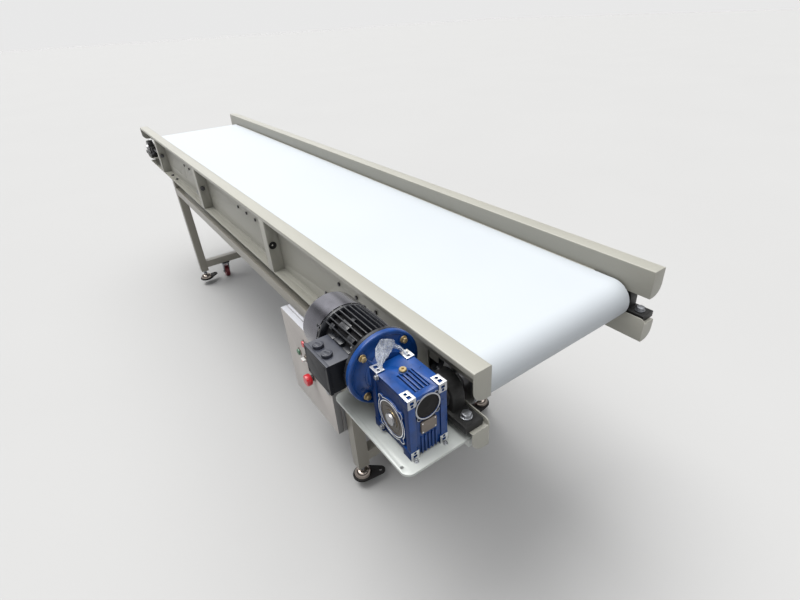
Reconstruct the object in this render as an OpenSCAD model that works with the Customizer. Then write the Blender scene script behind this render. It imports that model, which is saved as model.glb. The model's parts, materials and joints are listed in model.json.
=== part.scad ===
// Belt conveyor section: two folded side rails, a sliding-bed belt, a motor with a worm gearbox,
// a control box and a square-tube stand on levelling feet and swivel casters.
// X runs from the tail end to the driven head end, Y from the drive side to the far side, Z up.
// The origin is the centre of the belt's carrying surface.

/* [Side rails] */
// Length over the side rails
rail_length = 3040; // [3030:5:3060]
// Width over the side rails
frame_width = 600; // [598:1:604]
// Height of the side rails above the belt
rail_rise = 50; // [46:1:54]
// Depth of the side rails below the belt
rail_depth = 146; // [144:1:150]
// Width of the rail flanges
flange_width = 40; // [38:1:42]
// Sheet thickness of the side rails
rail_sheet = 2.5; // [2:0.5:3]

/* [Belt] */
// Width of the belt
belt_width = 500; // [480:1:500]
// Thickness of the belt
belt_thickness = 2; // [1.5:0.5:2.5]
// Radius of the driving drum and of the tail roller
drum_radius = 50; // [48:1:50]
// Distance of the drum's axis from the centre
head_x = 1426; // [1424:1:1428]
// Distance of the tail roller's axis from the centre
tail_x = 1400; // [1396:1:1404]
// Travel of the tail bearings
takeup_travel = 30; // [10:1:30]

/* [Stand] */
// Height of the belt above the floor
belt_height = 815; // [800:1:850]
// Distance of the legs from the centre, along the rails
leg_x = 945; // [940:1:950]
// Distance of the legs from the centre, across the rails
leg_y = 275; // [274:1:276]
// Width of the square tube
tube = 40; // [38:1:40]
// Wall of the square tube
tube_wall = 2; // [1.5:0.5:3]
// Height of the feet above the floor while the casters carry the stand
foot_lift = 35; // [25:1:35]
// Distance of the casters from the centre, across the rails
caster_y = 145; // [140:1:150]
// Diameter of the caster wheels
caster_wheel_d = 75; // [70:1:75]

/* [Drive] */
// Distance of the gearbox's middle plane from the rail's outer face
gearbox_offset = 74.5; // [74:0.5:78]
// Distance between the worm and the output shaft
gear_centres = 50; // [50:1:50]
// Diameter of the gearbox's input flange
input_flange_d = 160; // [150:1:160]
// Diameter of the input flange's bolt circle
input_bolt_circle = 130; // [125:1:132]

/* [Control box] */
// Width of the control box
box_width = 315; // [300:1:330]
// Height of the control box
box_height = 335; // [320:1:350]
// Depth of the control box behind its door
box_depth = 150; // [140:1:160]
// Position of the box's tail side
box_x = 603; // [600:1:603]

/* [Hidden] */
$fn = 64;

// Colours
frame_paint = [0.78, 0.77, 0.72];
box_paint = [0.74, 0.70, 0.68];
gearbox_paint = [0.10, 0.25, 0.60];
zinc = [0.75, 0.76, 0.78];
steel = [0.62, 0.63, 0.65];
brass = [0.80, 0.62, 0.25];
black_paint = [0.08, 0.08, 0.09];
black_rubber = [0.05, 0.05, 0.05];
belt_white = [0.95, 0.96, 0.98];

// Running clearance on a radius
play = 0.05;
// How far a cutting tool runs past a face
over = 1;

// Side rails
half_length = rail_length / 2;
half_width = frame_width / 2;
rail_bottom = -rail_depth;
web_outer = half_width - flange_width;
web_inner = web_outer - rail_sheet;
lip_depth = 12;
corner_r = 30;
// Bearing openings at the two ends
axis_z = -drum_radius - belt_thickness;
bearing_centre_height = 43;
seat_z = axis_z - bearing_centre_height;
opening_top = -22;
opening_bottom = seat_z + 13;
head_opening_x = half_length - 185;
tail_opening_x = half_length - 236;

// Pillow blocks
bearing_y = half_width - 12;
block_length = 170;
block_width = 44;
block_base = 16;
block_bolt_x = 62.5;
housing_r = 41;
ring_r = 19;
shaft_r = 15;
m12_r = 6;
m12_hex = 18;

// Stiffeners in the rail recess
stiffener_x = [-1112, -290, 532];
stiffener_sheet = 3;
stiffener_hole_y = half_width - 15;
screw_y = half_width - 14;

// Slider bed and the bolts that hold it
bed_y = web_inner - 0.1;
bed_sheet = 2;
bed_tail_x = -1340;
bed_head_x = 1366;
bed_flange = 40;
bed_bolt_z = -30;
bolt_groups = [-593, 229, 1040];
bolt_pitch = 92;
m6_r = 3;
m6_hex = 10;

// Return rollers
return_x = 500;
return_r = 20;
return_z = axis_z * 2 - return_r;
return_shaft_r = 6;

// Drums
drum_face = web_inner - 4.5;
drum_wall = 5;
drum_disc = 10;
shaft_end = half_width + 12;

// Stand
floor_z = -belt_height;
leg_top = rail_bottom;
leg_plate = 6;
leg_bottom = -725;
beam_z = -237;
cross_z = -704;
foot_z = floor_z + foot_lift;
foot_r = 35;
lug_offset = [25, -55];
lug_r = 17;
anchor_hole_r = 5.5;

// Casters
caster_top = cross_z;
caster_plate = 4;
wheel_r = caster_wheel_d / 2;
wheel_z = floor_z + wheel_r;
wheel_width = 24;
trail = -24;
fork_inner = 14;
fork_sheet = 3;
axle_r = 4;

// Gearbox
plate_top = -112;
plate_thickness = 6;
gearbox_y = -half_width - gearbox_offset;
gearbox_half = [60, 42.5];
gearbox_x0 = head_x - gearbox_half[0];
gearbox_x1 = head_x + gearbox_half[0];
gearbox_y0 = gearbox_y - gearbox_half[1];
gearbox_y1 = gearbox_y + gearbox_half[1];
gearbox_top = plate_top + 144;
worm_z = axis_z + gear_centres;
wheel_bore_r = 12.5;
hub_r = 19;
cover_r = 36;
cap_r = 24.4;
oil_plug_x = head_x - 13;

// Motor, from the gearbox towards the tail
flange_face = gearbox_x0 - 28;
flange_thickness = 12;
motor_flange = 10;
motor_front = flange_face - motor_flange;
motor_back = motor_front - 134;
cowl_back = motor_back - 71;
motor_r = 62;
fin_r = 70;
cowl_r = 69;
motor_shaft_r = 9;
terminal_x = [1222, 1318];
terminal_z = [-35, 32];
terminal_front = gearbox_y - 105.5;
terminal_lid = 6;

// Control box
box_front = -half_width - 3;
box_back = box_front + box_depth;
box_top = beam_z - 3;
box_bottom = box_top - box_height;
box_x1 = box_x + box_width;
box_sheet = 2;
box_lip = 14;
door_front = box_front - 22;
door_back = box_front - 2;
hinge_x = box_x - 5;
hinge_y = box_front - 1;
hinge_r = 4.5;
hinge_pin_r = 2;
hinge_z = [box_bottom + 45, box_top - 75];
hinge_third = 10;
lock_at = [box_x1 - 23, (box_top + box_bottom) / 2];
stop_at = [764, -300];
start_at = [704, -365];
selector_at = [758, -361];
estop_at = [785, -424];
button_hole_r = 11;

// ---- Helpers ----

// Box between two opposite corners
module block(low, high) {
    translate(low)
        cube(high - low);
}

module rod_x(r, x0, x1, y, z) {
    translate([x0, y, z])
        rotate([0, 90, 0])
            cylinder(r = r, h = x1 - x0);
}

module rod_y(r, y0, y1, x, z) {
    translate([x, y0, z])
        rotate([-90, 0, 0])
            cylinder(r = r, h = y1 - y0);
}

module rod_z(r, z0, z1, x = 0, y = 0) {
    translate([x, y, z0])
        cylinder(r = r, h = z1 - z0);
}

// Hexagon prisms, given their width across flats
module hex_x(flats, x0, x1, y, z) {
    translate([x0, y, z])
        rotate([0, 90, 0])
            cylinder(r = flats / 2 / cos(30), h = x1 - x0, $fn = 6);
}

module hex_y(flats, y0, y1, x, z) {
    translate([x, y0, z])
        rotate([-90, 0, 0])
            cylinder(r = flats / 2 / cos(30), h = y1 - y0, $fn = 6);
}

module hex_z(flats, z0, z1, x, y) {
    translate([x, y, z0])
        cylinder(r = flats / 2 / cos(30), h = z1 - z0, $fn = 6);
}

// Slot along X through a horizontal sheet
module slot_z(r, x0, x1, y, z0, z1) {
    rod_z(r, z0, z1, x0, y);
    rod_z(r, z0, z1, x1, y);
    block([x0, y - r, z0], [x1, y + r, z1]);
}

// Upright plate across Y from an outline in X and Z
module plate_xz(y_high, thickness) {
    translate([0, y_high, 0])
        rotate([90, 0, 0])
            linear_extrude(thickness)
                children();
}

// Upright plate across X from an outline in Y and Z
module plate_yz(x_low, thickness) {
    translate([x_low, 0, 0])
        rotate([90, 0, 90])
            linear_extrude(thickness)
                children();
}

// What to cut off a square corner to round it; dir points out of the corner
module corner_cut(at, dir, r) {
    translate(at)
        difference() {
            translate([dir[0] > 0 ? -r : -over, dir[1] > 0 ? -r : -over])
                square(r + over);
            translate([-dir[0] * r, -dir[1] * r])
                circle(r);
        }
}

module near_and_far() {
    children();
    mirror([0, 1, 0])
        children();
}

module at_corners(x, y) {
    for (sx = [-1, 1], sy = [-1, 1])
        translate([sx * x, sy * y, 0])
            children();
}

// ---- Frame ----

module web_outline() {
    difference() {
        translate([-half_length, rail_bottom])
            square([rail_length, rail_rise + rail_depth]);
        translate([head_opening_x, opening_bottom])
            square([half_length, opening_top - opening_bottom]);
        translate([-tail_opening_x - half_length, opening_bottom])
            square([half_length, opening_top - opening_bottom]);
        for (side = [-1, 1])
            corner_cut([side * half_length, opening_bottom], [side, 1], 11);
    }
}

// Closes one end of a rail section
module end_plate(x_low, z0, z1) {
    plate_yz(x_low, rail_sheet)
        difference() {
            translate([-half_width, z0])
                square([flange_width + rail_sheet, z1 - z0]);
            corner_cut([-half_width, z0], [-1, -1], corner_r);
        }
}

module rail_sheets() {
    rail_top = rail_rise;
    plate_xz(-web_inner, rail_sheet)
        web_outline();
    block([-half_length, -half_width, rail_top - rail_sheet], [half_length, -web_inner, rail_top]);
    block([-half_length, -half_width, rail_top - lip_depth], [half_length, -half_width + rail_sheet, rail_top]);
    block([-half_length + corner_r, -half_width, rail_bottom],
        [half_length - corner_r, -web_inner, rail_bottom + rail_sheet]);
    block([-half_length, -half_width + corner_r, rail_bottom], [half_length, -web_inner, rail_bottom + rail_sheet]);
    block([head_opening_x, -half_width, seat_z - rail_sheet], [half_length, -web_inner, seat_z]);
    block([-half_length, -half_width, seat_z - rail_sheet], [-tail_opening_x, -web_inner, seat_z]);
    for (x_low = [-half_length, half_length - rail_sheet]) {
        end_plate(x_low, opening_top, rail_top);
        end_plate(x_low, rail_bottom, seat_z);
    }
}

// All bed bolts of one rail, as points in X and Z
bed_bolts = concat(
    [for (group = bolt_groups, step = [-1, 0, 1]) [group + step * bolt_pitch, bed_bolt_z]],
    [[853, -100]]
);

module near_rail() {
    difference() {
        rail_sheets();
        for (at = bed_bolts)
            rod_y(m6_r + 0.3, -web_outer - over, -web_inner + over, at[0], at[1]);
        for (x = [-832, -722])
            rod_y(4, -web_outer - over, -web_inner + over, x, -100);
        for (x = [-return_x, return_x])
            rod_y(return_shaft_r + play, -web_outer - over, -web_inner + over, x, return_z);
        for (side = [-1, 1])
            rod_z(6.5, seat_z - rail_sheet - over, seat_z + over, head_x + side * block_bolt_x, -bearing_y);
        for (side = [-1, 1])
            slot_z(6.5, -tail_x + side * block_bolt_x, -tail_x + side * block_bolt_x + takeup_travel,
                -bearing_y, seat_z - rail_sheet - over, seat_z + over);
        for (sx = [-1, 1], step = [-50, 50])
            rod_z(4.5, rail_bottom - over, rail_bottom + rail_sheet + over, sx * leg_x + step, -leg_y - 4);
    }
}

module side_rail_near() {
    color(frame_paint)
        near_rail();
}

module side_rail_far() {
    color(frame_paint)
        mirror([0, 1, 0])
            near_rail();
}

module stiffener(x, hole_r, hole_y, hole_z) {
    z0 = rail_bottom + rail_sheet;
    difference() {
        union() {
            block([x, -half_width + rail_sheet, z0], [x + stiffener_sheet, -web_outer, rail_rise - rail_sheet]);
            block([x - 37, -half_width, z0], [x + stiffener_sheet, -half_width + rail_sheet, rail_rise - lip_depth]);
        }
        rod_x(hole_r, x - over, x + stiffener_sheet + over, -hole_y, hole_z);
    }
}

module rail_stiffeners() {
    color(frame_paint)
        near_and_far() {
            stiffener(stiffener_x[0], m12_r + 0.5, screw_y, axis_z);
            stiffener(stiffener_x[1], m12_r + 0.5, stiffener_hole_y, -50);
            stiffener(stiffener_x[2], 10, stiffener_hole_y, -50);
        }
}

module slider_bed() {
    deck_z = -belt_thickness;
    color(frame_paint)
        difference() {
            union() {
                block([bed_tail_x, -bed_y, deck_z - bed_sheet], [bed_head_x, bed_y, deck_z]);
                near_and_far()
                    block([bed_tail_x, -bed_y, deck_z - bed_flange], [bed_head_x, -bed_y + bed_sheet, deck_z]);
            }
            near_and_far()
                for (at = bed_bolts)
                    rod_y(m6_r + 0.3, -bed_y - over, -bed_y + bed_sheet + over, at[0], at[1]);
        }
}

module bed_cross_tubes() {
    top = -belt_thickness - bed_sheet;
    reach = bed_y - bed_sheet;
    color(frame_paint)
        for (x = stiffener_x)
            difference() {
                block([x - tube / 2, -reach, top - tube], [x + tube / 2, reach, top]);
                block([x - tube / 2 + tube_wall, -reach - over, top - tube + tube_wall],
                    [x + tube / 2 - tube_wall, reach + over, top - tube_wall]);
            }
}

// Bolt through the rail web with its nut inside; inner is the face the nut sits on
module bed_bolt(x, z, inner) {
    hex_y(m6_hex, -web_outer - 4, -web_outer, x, z);
    rod_y(m6_r, -web_outer, -inner + 5, x, z);
    difference() {
        hex_y(m6_hex, -inner, -inner + 5, x, z);
        rod_y(m6_r, -inner - over, -inner + 5 + over, x, z);
    }
}

module frame_bolts() {
    bed_inner = bed_y - bed_sheet;
    color(zinc)
        near_and_far() {
            for (at = bed_bolts)
                bed_bolt(at[0], at[1], at[1] < -50 ? web_inner : bed_inner);
            for (sx = [-1, 1], step = [-50, 50])
                leg_bolt(sx * leg_x + step);
            takeup_nut(stiffener_x[0] - 6, stiffener_x[0]);
            takeup_nut(stiffener_x[0] + stiffener_sheet, stiffener_x[0] + stiffener_sheet + 10);
            hex_x(m12_hex, stiffener_x[1] + stiffener_sheet, stiffener_x[1] + stiffener_sheet + 8,
                -stiffener_hole_y, -50);
            rod_x(m12_r, stiffener_x[1] - 20, stiffener_x[1] + stiffener_sheet, -stiffener_hole_y, -50);
        }
}

module leg_bolt(x) {
    z = rail_bottom + rail_sheet;
    hex_z(13, z, z + 6, x, -leg_y - 4);
    rod_z(4, rail_bottom - leg_plate, z, x, -leg_y - 4);
}

module takeup_nut(x0, x1) {
    difference() {
        translate([x0, -screw_y, axis_z])
            rotate([0, 90, 0])
                cylinder(r = m12_hex / 2 / cos(30), h = x1 - x0, $fn = 6);
        rod_x(m12_r + play, x0 - over, x1 + over, -screw_y, axis_z);
    }
}

// ---- Belt, drum and rollers ----

module loop_outline(r) {
    translate([head_x, axis_z])
        circle(r, $fn = 96);
    translate([-tail_x, axis_z])
        circle(r, $fn = 96);
    translate([-tail_x, axis_z - r])
        square([head_x + tail_x, 2 * r]);
}

module conveyor_belt() {
    color(belt_white)
        plate_xz(belt_width / 2, belt_width)
            difference() {
                loop_outline(drum_radius + belt_thickness);
                loop_outline(drum_radius + play);
            }
}

// Hollow roller with two end discs, along Y
module roller(r, wall, disc, bore_r, face, x, z) {
    difference() {
        rod_y(r, -face, face, x, z);
        rod_y(r - wall, -face + disc, face - disc, x, z);
        rod_y(bore_r, -face - over, face + over, x, z);
    }
}

module head_drum() {
    color(steel)
        roller(drum_radius, drum_wall, drum_disc, shaft_r + play, drum_face, head_x, axis_z);
}

module tail_roller() {
    color(steel)
        roller(drum_radius, drum_wall, drum_disc, shaft_r + play, drum_face, -tail_x, axis_z);
}

// Shaft with the bearings' inner rings
module ringed_shaft(x) {
    rod_y(shaft_r, -shaft_end, shaft_end, x, axis_z);
    for (side = [-1, 1])
        rod_y(ring_r, side * bearing_y - 17, side * bearing_y + 17, x, axis_z);
}

module drum_shaft() {
    color(steel)
        union() {
            ringed_shaft(head_x);
            rod_y(wheel_bore_r, gearbox_y0 - 4, -shaft_end, head_x, axis_z);
        }
}

module tail_shaft() {
    color(steel)
        ringed_shaft(-tail_x);
}

module return_roller(x) {
    color(steel)
        roller(return_r - play, 3, 12, return_shaft_r + play, drum_face, x, return_z);
}

module return_roller_shafts() {
    color(zinc)
        for (x = [-return_x, return_x]) {
            rod_y(return_shaft_r, -web_outer - 3, web_outer + 3, x, return_z);
            near_and_far()
                hex_y(m12_hex, -web_outer - 11, -web_outer - 3, x, return_z);
        }
}

// ---- Bearings ----

module pillow_block(x) {
    base_top = seat_z + block_base;
    difference() {
        union() {
            block([x - block_length / 2, -bearing_y - block_width / 2, seat_z],
                [x + block_length / 2, -bearing_y + block_width / 2, base_top]);
            block([x - housing_r, -bearing_y - 15, base_top], [x + housing_r, -bearing_y + 15, axis_z]);
            rod_y(housing_r, -bearing_y - 15, -bearing_y + 15, x, axis_z);
        }
        rod_y(ring_r + play, -bearing_y - block_width, -bearing_y + block_width, x, axis_z);
        for (side = [-1, 1])
            rod_z(6.5, seat_z - over, base_top + over, x + side * block_bolt_x, -bearing_y);
    }
}

module pillow_blocks() {
    color(black_paint)
        near_and_far()
            pillow_block(head_x);
}

module block_bolt(x) {
    base_top = seat_z + block_base;
    rod_z(12, base_top, base_top + 2.5, x, -bearing_y);
    hex_z(m12_hex, base_top + 2.5, base_top + 10, x, -bearing_y);
    rod_z(m12_r, seat_z - 14, base_top, x, -bearing_y);
    difference() {
        hex_z(m12_hex, seat_z - rail_sheet - 8, seat_z - rail_sheet, x, -bearing_y);
        rod_z(m12_r, seat_z - rail_sheet - 9, seat_z, x, -bearing_y);
    }
}

module bearing_bolts() {
    color(zinc)
        near_and_far()
            for (side = [-1, 1])
                block_bolt(head_x + side * block_bolt_x);
}

module takeup_blocks() {
    boss_end = -tail_x + block_length / 2;
    color(black_paint)
        near_and_far() {
            difference() {
                union() {
                    pillow_block(-tail_x);
                    block([-tail_x + ring_r + 8, -screw_y - 12, axis_z - 12], [boss_end, -screw_y + 12, axis_z + 12]);
                }
                rod_y(ring_r + play, -bearing_y - block_width, -bearing_y + block_width, -tail_x, axis_z);
            }
        }
}

module takeup_screws() {
    color(zinc)
        near_and_far() {
            rod_x(m12_r, -tail_x + block_length / 2, stiffener_x[0] + 27, -screw_y, axis_z);
            for (side = [-1, 1])
                block_bolt(-tail_x + side * block_bolt_x);
        }
}

// ---- Stand ----

module stand_legs() {
    inner = tube / 2 - tube_wall;
    color(frame_paint)
        at_corners(leg_x, leg_y)
            difference() {
                union() {
                    block([-tube / 2, -tube / 2, leg_bottom], [tube / 2, tube / 2, leg_top - leg_plate]);
                    block([-70, -tube / 2, leg_top - leg_plate], [70, tube / 2, leg_top]);
                }
                block([-inner, -inner, leg_bottom + 5], [inner, inner, leg_top - leg_plate]);
                rod_z(m12_r + play, leg_bottom - over, leg_bottom + 5 + over);
                for (x = [-50, 50], y = [-4, 4])
                    rod_z(4.5, leg_top - leg_plate - over, leg_top + over, x, y);
            }
}

module stand_rails() {
    reach = leg_x - tube / 2;
    span = leg_y - tube / 2;
    color(frame_paint) {
        near_and_far()
            difference() {
                block([-reach, -leg_y - tube / 2, beam_z], [reach, -leg_y + tube / 2, beam_z + tube]);
                block([-reach - over, -leg_y - tube / 2 + tube_wall, beam_z + tube_wall],
                    [reach + over, -leg_y + tube / 2 - tube_wall, beam_z + tube - tube_wall]);
            }
        for (side = [-1, 1])
            difference() {
                block([side * leg_x - tube / 2, -span, cross_z], [side * leg_x + tube / 2, span, cross_z + tube]);
                block([side * leg_x - tube / 2 + tube_wall, -span - over, cross_z + tube_wall],
                    [side * leg_x + tube / 2 - tube_wall, span + over, cross_z + tube - tube_wall]);
            }
    }
}

// Foot under a leg; sx and sy say which corner it stands at
module levelling_foot(sx, sy) {
    lug_length = norm(lug_offset);
    lug_angle = atan2(sy * lug_offset[1], sx * lug_offset[0]);
    neck_z = foot_z + 32;
    translate([sx * leg_x, sy * leg_y, 0]) {
        color(black_rubber)
            difference() {
                union() {
                    rod_z(foot_r, foot_z, foot_z + 8);
                    rotate([0, 0, lug_angle])
                        translate([0, 0, foot_z])
                            linear_extrude(6)
                                polygon([[0, 2 - foot_r], [lug_length, 1 - lug_r],
                                    [lug_length, lug_r - 1], [0, foot_r - 2]]);
                    rod_z(lug_r, foot_z, foot_z + 6, sx * lug_offset[0], sy * lug_offset[1]);
                }
                rod_z(anchor_hole_r, foot_z - over, foot_z + 6 + over, sx * lug_offset[0], sy * lug_offset[1]);
            }
        color(zinc)
            union() {
                rotate_extrude()
                    polygon([[0, foot_z + 8], [30, foot_z + 8], [29, foot_z + 14], [20, foot_z + 23],
                        [11, foot_z + 28], [11, neck_z], [0, neck_z]]);
                hex_z(m12_hex, neck_z, neck_z + 9, 0, 0);
                rod_z(m12_r, neck_z, leg_bottom + 90);
                hex_z(m12_hex, leg_bottom - 9, leg_bottom - 1, 0, 0);
            }
    }
}

module caster_plates() {
    color(black_paint)
        at_corners(leg_x, caster_y) {
            block([-30, -20, caster_top - caster_plate], [30, 20, caster_top]);
            rod_z(6, caster_top - 16, caster_top - caster_plate);
            rod_z(10, caster_top - 19, caster_top - 16);
        }
}

module fork_outline() {
    head_z = caster_top - 15;
    polygon([[-20, head_z], [20, head_z], [trail + 12, wheel_z + 2], [trail + 6, wheel_z - 8],
        [trail - 6, wheel_z - 8], [trail - 10, wheel_z + 4]]);
    translate([trail, wheel_z])
        circle(11);
}

module caster_fork(sx, sy) {
    outer = fork_inner + fork_sheet;
    color(zinc)
        translate([sx * leg_x, sy * caster_y, 0])
            union() {
                difference() {
                    union() {
                        rod_z(24, caster_top - 12, caster_top - 5);
                        block([-20, -outer, caster_top - 15], [20, outer, caster_top - 12]);
                    }
                    rod_z(6 + play, caster_top - 16, caster_top - 4);
                    rod_z(10 + play, caster_top - 19, caster_top - 16 + 1.05);
                }
                for (y_high = [outer, -fork_inner])
                    plate_xz(y_high, fork_sheet)
                        fork_outline();
                rod_y(axle_r, -outer - 4, outer + 4, trail, wheel_z);
            }
}

module caster_wheel(sx, sy) {
    color([0.45, 0.07, 0.08])
        translate([sx * leg_x + trail, sy * caster_y, wheel_z])
            rotate([90, 0, 0])
                rotate_extrude()
                    polygon([[axle_r + play, -13], [12, -13], [12, -10], [wheel_r - 10, -10],
                        [wheel_r - 8, -12], [wheel_r - 3, -12], [wheel_r, -8], [wheel_r, 8], [wheel_r - 3, 12],
                        [wheel_r - 8, 12], [wheel_r - 10, 10], [12, 10], [12, 13], [axle_r + play, 13]]);
}

// ---- Drive ----

module motor_plate() {
    x0 = 1240;
    x1 = half_length - 10.5;
    y0 = -half_width - 145;
    y1 = -web_outer - 2;
    z0 = plate_top - plate_thickness;
    color(frame_paint) {
        translate([0, 0, z0])
            linear_extrude(plate_thickness)
                difference() {
                    translate([x0, y0])
                        square([x1 - x0, y1 - y0]);
                    corner_cut([x1, y0], [1, -1], 18);
                    corner_cut([x0, y0], [-1, -1], 14);
                    translate([x1 - 24.5, y0 + 7])
                        circle(3.5);
                }
        for (x = [x0 + 5, 1352, x1 - 45])
            block([x, -half_width + 4, rail_bottom + rail_sheet], [x + 40, y1, z0]);
    }
}

// Repeats a shape at the gearbox's eight corners; +X, +Y and +Z point into the body there
module at_gearbox_corners() {
    middle_z = (plate_top + gearbox_top) / 2;
    for (sx = [-1, 1], sy = [-1, 1], sz = [-1, 1])
        translate([head_x + sx * gearbox_half[0], gearbox_y + sy * gearbox_half[1],
            middle_z + sz * (gearbox_top - plate_top) / 2])
            mirror([sx > 0 ? 1 : 0, 0, 0])
                mirror([0, sy > 0 ? 1 : 0, 0])
                    mirror([0, 0, sz > 0 ? 1 : 0])
                        children();
}

// Top of the casting, sunk round the cooling ribs
module gearbox_top_slab() {
    difference() {
        block([gearbox_x0 + 1.5, gearbox_y0 + 1.5, gearbox_top - 12],
            [gearbox_x1 - 1.5, gearbox_y1 - 1.5, gearbox_top - 3]);
        block([gearbox_x0 + 50, gearbox_y - 17, gearbox_top - 7], [gearbox_x1 - 14, gearbox_y + 17, gearbox_top]);
    }
}

// Screw holes and weight-saving pockets of one mounting pad
module pad_pockets() {
    rod_z(3.3, -over, 12, 18, 9);
    block([4, 5, -over], [12, 13, 4]);
    rod_x(3, -over, 10, 9, 15.5);
    block([-over, 5, 5.5], [3, 13, 11.5]);
}

module gearbox_housing() {
    inset = 4;
    pad = [25, 18, 20];
    rib_width = 3;
    half_height = (gearbox_top - plate_top) / 2;
    color(gearbox_paint)
        difference() {
            union() {
                block([gearbox_x0 + inset, gearbox_y0 + inset, plate_top + inset],
                    [gearbox_x1 - inset, gearbox_y1 - inset, gearbox_top - 8]);
                gearbox_top_slab();
                at_gearbox_corners() {
                    cube(pad);
                    block([0.6, 0.6, pad[2] - 1], [13, 15, half_height]);
                }
                rod_y(cover_r + 7, gearbox_y0 + 1, gearbox_y1 - 1, head_x, axis_z);
                for (angle = [45 : 90 : 315])
                    rod_y(8, gearbox_y0 + 1, gearbox_y1 - 1, head_x + 43 * cos(angle), axis_z + 43 * sin(angle));
                rod_x(cap_r + 2.6, gearbox_x0, gearbox_x1, gearbox_y, worm_z);
                for (angle = [45 : 90 : 315])
                    rod_x(4.5, gearbox_x0 + 1, gearbox_x1 - 1, gearbox_y + 27 * cos(angle), worm_z + 27 * sin(angle));
                for (y = [-12, -4, 4, 12])
                    block([gearbox_x0 + 50, gearbox_y + y - rib_width / 2, gearbox_top - 8],
                        [gearbox_x1 - 14, gearbox_y + y + rib_width / 2, gearbox_top - 2]);
                for (y = [-16, -8, 0, 8, 16])
                    block([gearbox_x0 + 1, gearbox_y + y - rib_width / 2, plate_top + inset],
                        [gearbox_x1 - 1, gearbox_y + y + rib_width / 2, worm_z - 66]);
                rod_z(9.5, gearbox_top - 8, gearbox_top - 1, oil_plug_x, gearbox_y);
            }
            at_gearbox_corners()
                pad_pockets();
            for (angle = [45 : 90 : 315])
                rod_y(2.6, gearbox_y0, gearbox_y0 + 12, head_x + 43 * cos(angle), axis_z + 43 * sin(angle));
            rod_y(cover_r, gearbox_y0 - over, gearbox_y1 + over, head_x, axis_z);
            rod_x(20, gearbox_x0 - over, gearbox_x1 + over, gearbox_y, worm_z);
            rod_x(cap_r, gearbox_x1 - 8, gearbox_x1 + over, gearbox_y, worm_z);
            rod_z(5, gearbox_top - 14, gearbox_top, oil_plug_x, gearbox_y);
        }
}

module gearbox_side_covers() {
    color(steel)
        for (low = [gearbox_y0 + 1, gearbox_y1 - 9])
            difference() {
                rod_y(cover_r - play, low, low + 8, head_x, axis_z);
                rod_y(hub_r + play, low - over, low + 8 + over, head_x, axis_z);
            }
}

module worm_end_cap() {
    color(black_paint)
        rod_x(cap_r - play, gearbox_x1 - 8, gearbox_x1 - 1, gearbox_y, worm_z);
}

module gearbox_oil_plug() {
    color(brass)
        union() {
            rod_z(5 - play, gearbox_top - 10, gearbox_top - 1, oil_plug_x, gearbox_y);
            hex_z(11, gearbox_top - 1, gearbox_top + 4, oil_plug_x, gearbox_y);
        }
}

// The four bolts of the input flange, as points in Y and Z
flange_bolts = [for (angle = [45 : 90 : 315])
    [gearbox_y + input_bolt_circle / 2 * cos(angle), worm_z + input_bolt_circle / 2 * sin(angle)]];

module gearbox_input_flange() {
    flange_back = flange_face + flange_thickness;
    color(gearbox_paint)
        difference() {
            union() {
                rod_x(input_flange_d / 2, flange_face, flange_back, gearbox_y, worm_z);
                rod_x(42, flange_back, gearbox_x0, gearbox_y, worm_z);
            }
            rod_x(20, flange_face - over, gearbox_x0 + over, gearbox_y, worm_z);
            for (at = flange_bolts)
                rod_x(4.5, flange_face - over, flange_back + over, at[0], at[1]);
        }
}

module gearbox_bolts() {
    flange_back = flange_face + flange_thickness;
    color(brass) {
        for (at = flange_bolts) {
            rod_x(8, flange_back, flange_back + 1.5, at[0], at[1]);
            hex_x(13, flange_back + 1.5, flange_back + 7, at[0], at[1]);
            rod_x(4, motor_front + 1, flange_back, at[0], at[1]);
        }
    }
}

module motor_shields() {
    color(black_paint) {
        difference() {
            rod_x(input_flange_d / 2, motor_front, flange_face, gearbox_y, worm_z);
            rod_x(motor_shaft_r + play, motor_front - over, flange_face + over, gearbox_y, worm_z);
            for (at = flange_bolts)
                rod_x(4.5, motor_front - over, flange_face + over, at[0], at[1]);
        }
        difference() {
            rod_x(motor_r, motor_back - 8, motor_back, gearbox_y, worm_z);
            rod_x(motor_shaft_r + play, motor_back - 9, motor_back + over, gearbox_y, worm_z);
        }
    }
}

module motor_housing() {
    fin_step = 12;
    color(black_paint)
        difference() {
            union() {
                rod_x(motor_r, motor_back, motor_front, gearbox_y, worm_z);
                for (angle = [-126 : fin_step : 126])
                    translate([motor_back + 4, gearbox_y, worm_z])
                        rotate([angle, 0, 0])
                            block([0, 0, -1.25], [motor_front - motor_back - 12, fin_r, 1.25]);
            }
            rod_x(54, motor_back - over, motor_back + 20, gearbox_y, worm_z);
            rod_x(54, motor_front - 20, motor_front + over, gearbox_y, worm_z);
            rod_x(37, motor_back - over, motor_front + over, gearbox_y, worm_z);
        }
}

module motor_fan_cowl() {
    wall = 1.5;
    color([0.35, 0.34, 0.38])
        difference() {
            rod_x(cowl_r, cowl_back, motor_back, gearbox_y, worm_z);
            rod_x(cowl_r - wall, cowl_back + wall, motor_back + over, gearbox_y, worm_z);
            for (r = [22, 36, 50], angle = [0 : 30 : 330])
                rod_x(4.5, cowl_back - over, cowl_back + wall + over,
                    gearbox_y + r * cos(angle), worm_z + r * sin(angle));
        }
}

module terminal_box() {
    wall = 4;
    floor_y = gearbox_y - motor_r - 6;
    color(black_paint)
        difference() {
            block([terminal_x[0], terminal_front + terminal_lid, terminal_z[0]],
                [terminal_x[1], gearbox_y - 48, terminal_z[1]]);
            rod_x(motor_r + play, terminal_x[0] - over, terminal_x[1] + over, gearbox_y, worm_z);
            block([terminal_x[0] + wall, terminal_front, terminal_z[0] + wall],
                [terminal_x[1] - wall, floor_y, terminal_z[1] - wall]);
        }
}

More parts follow.
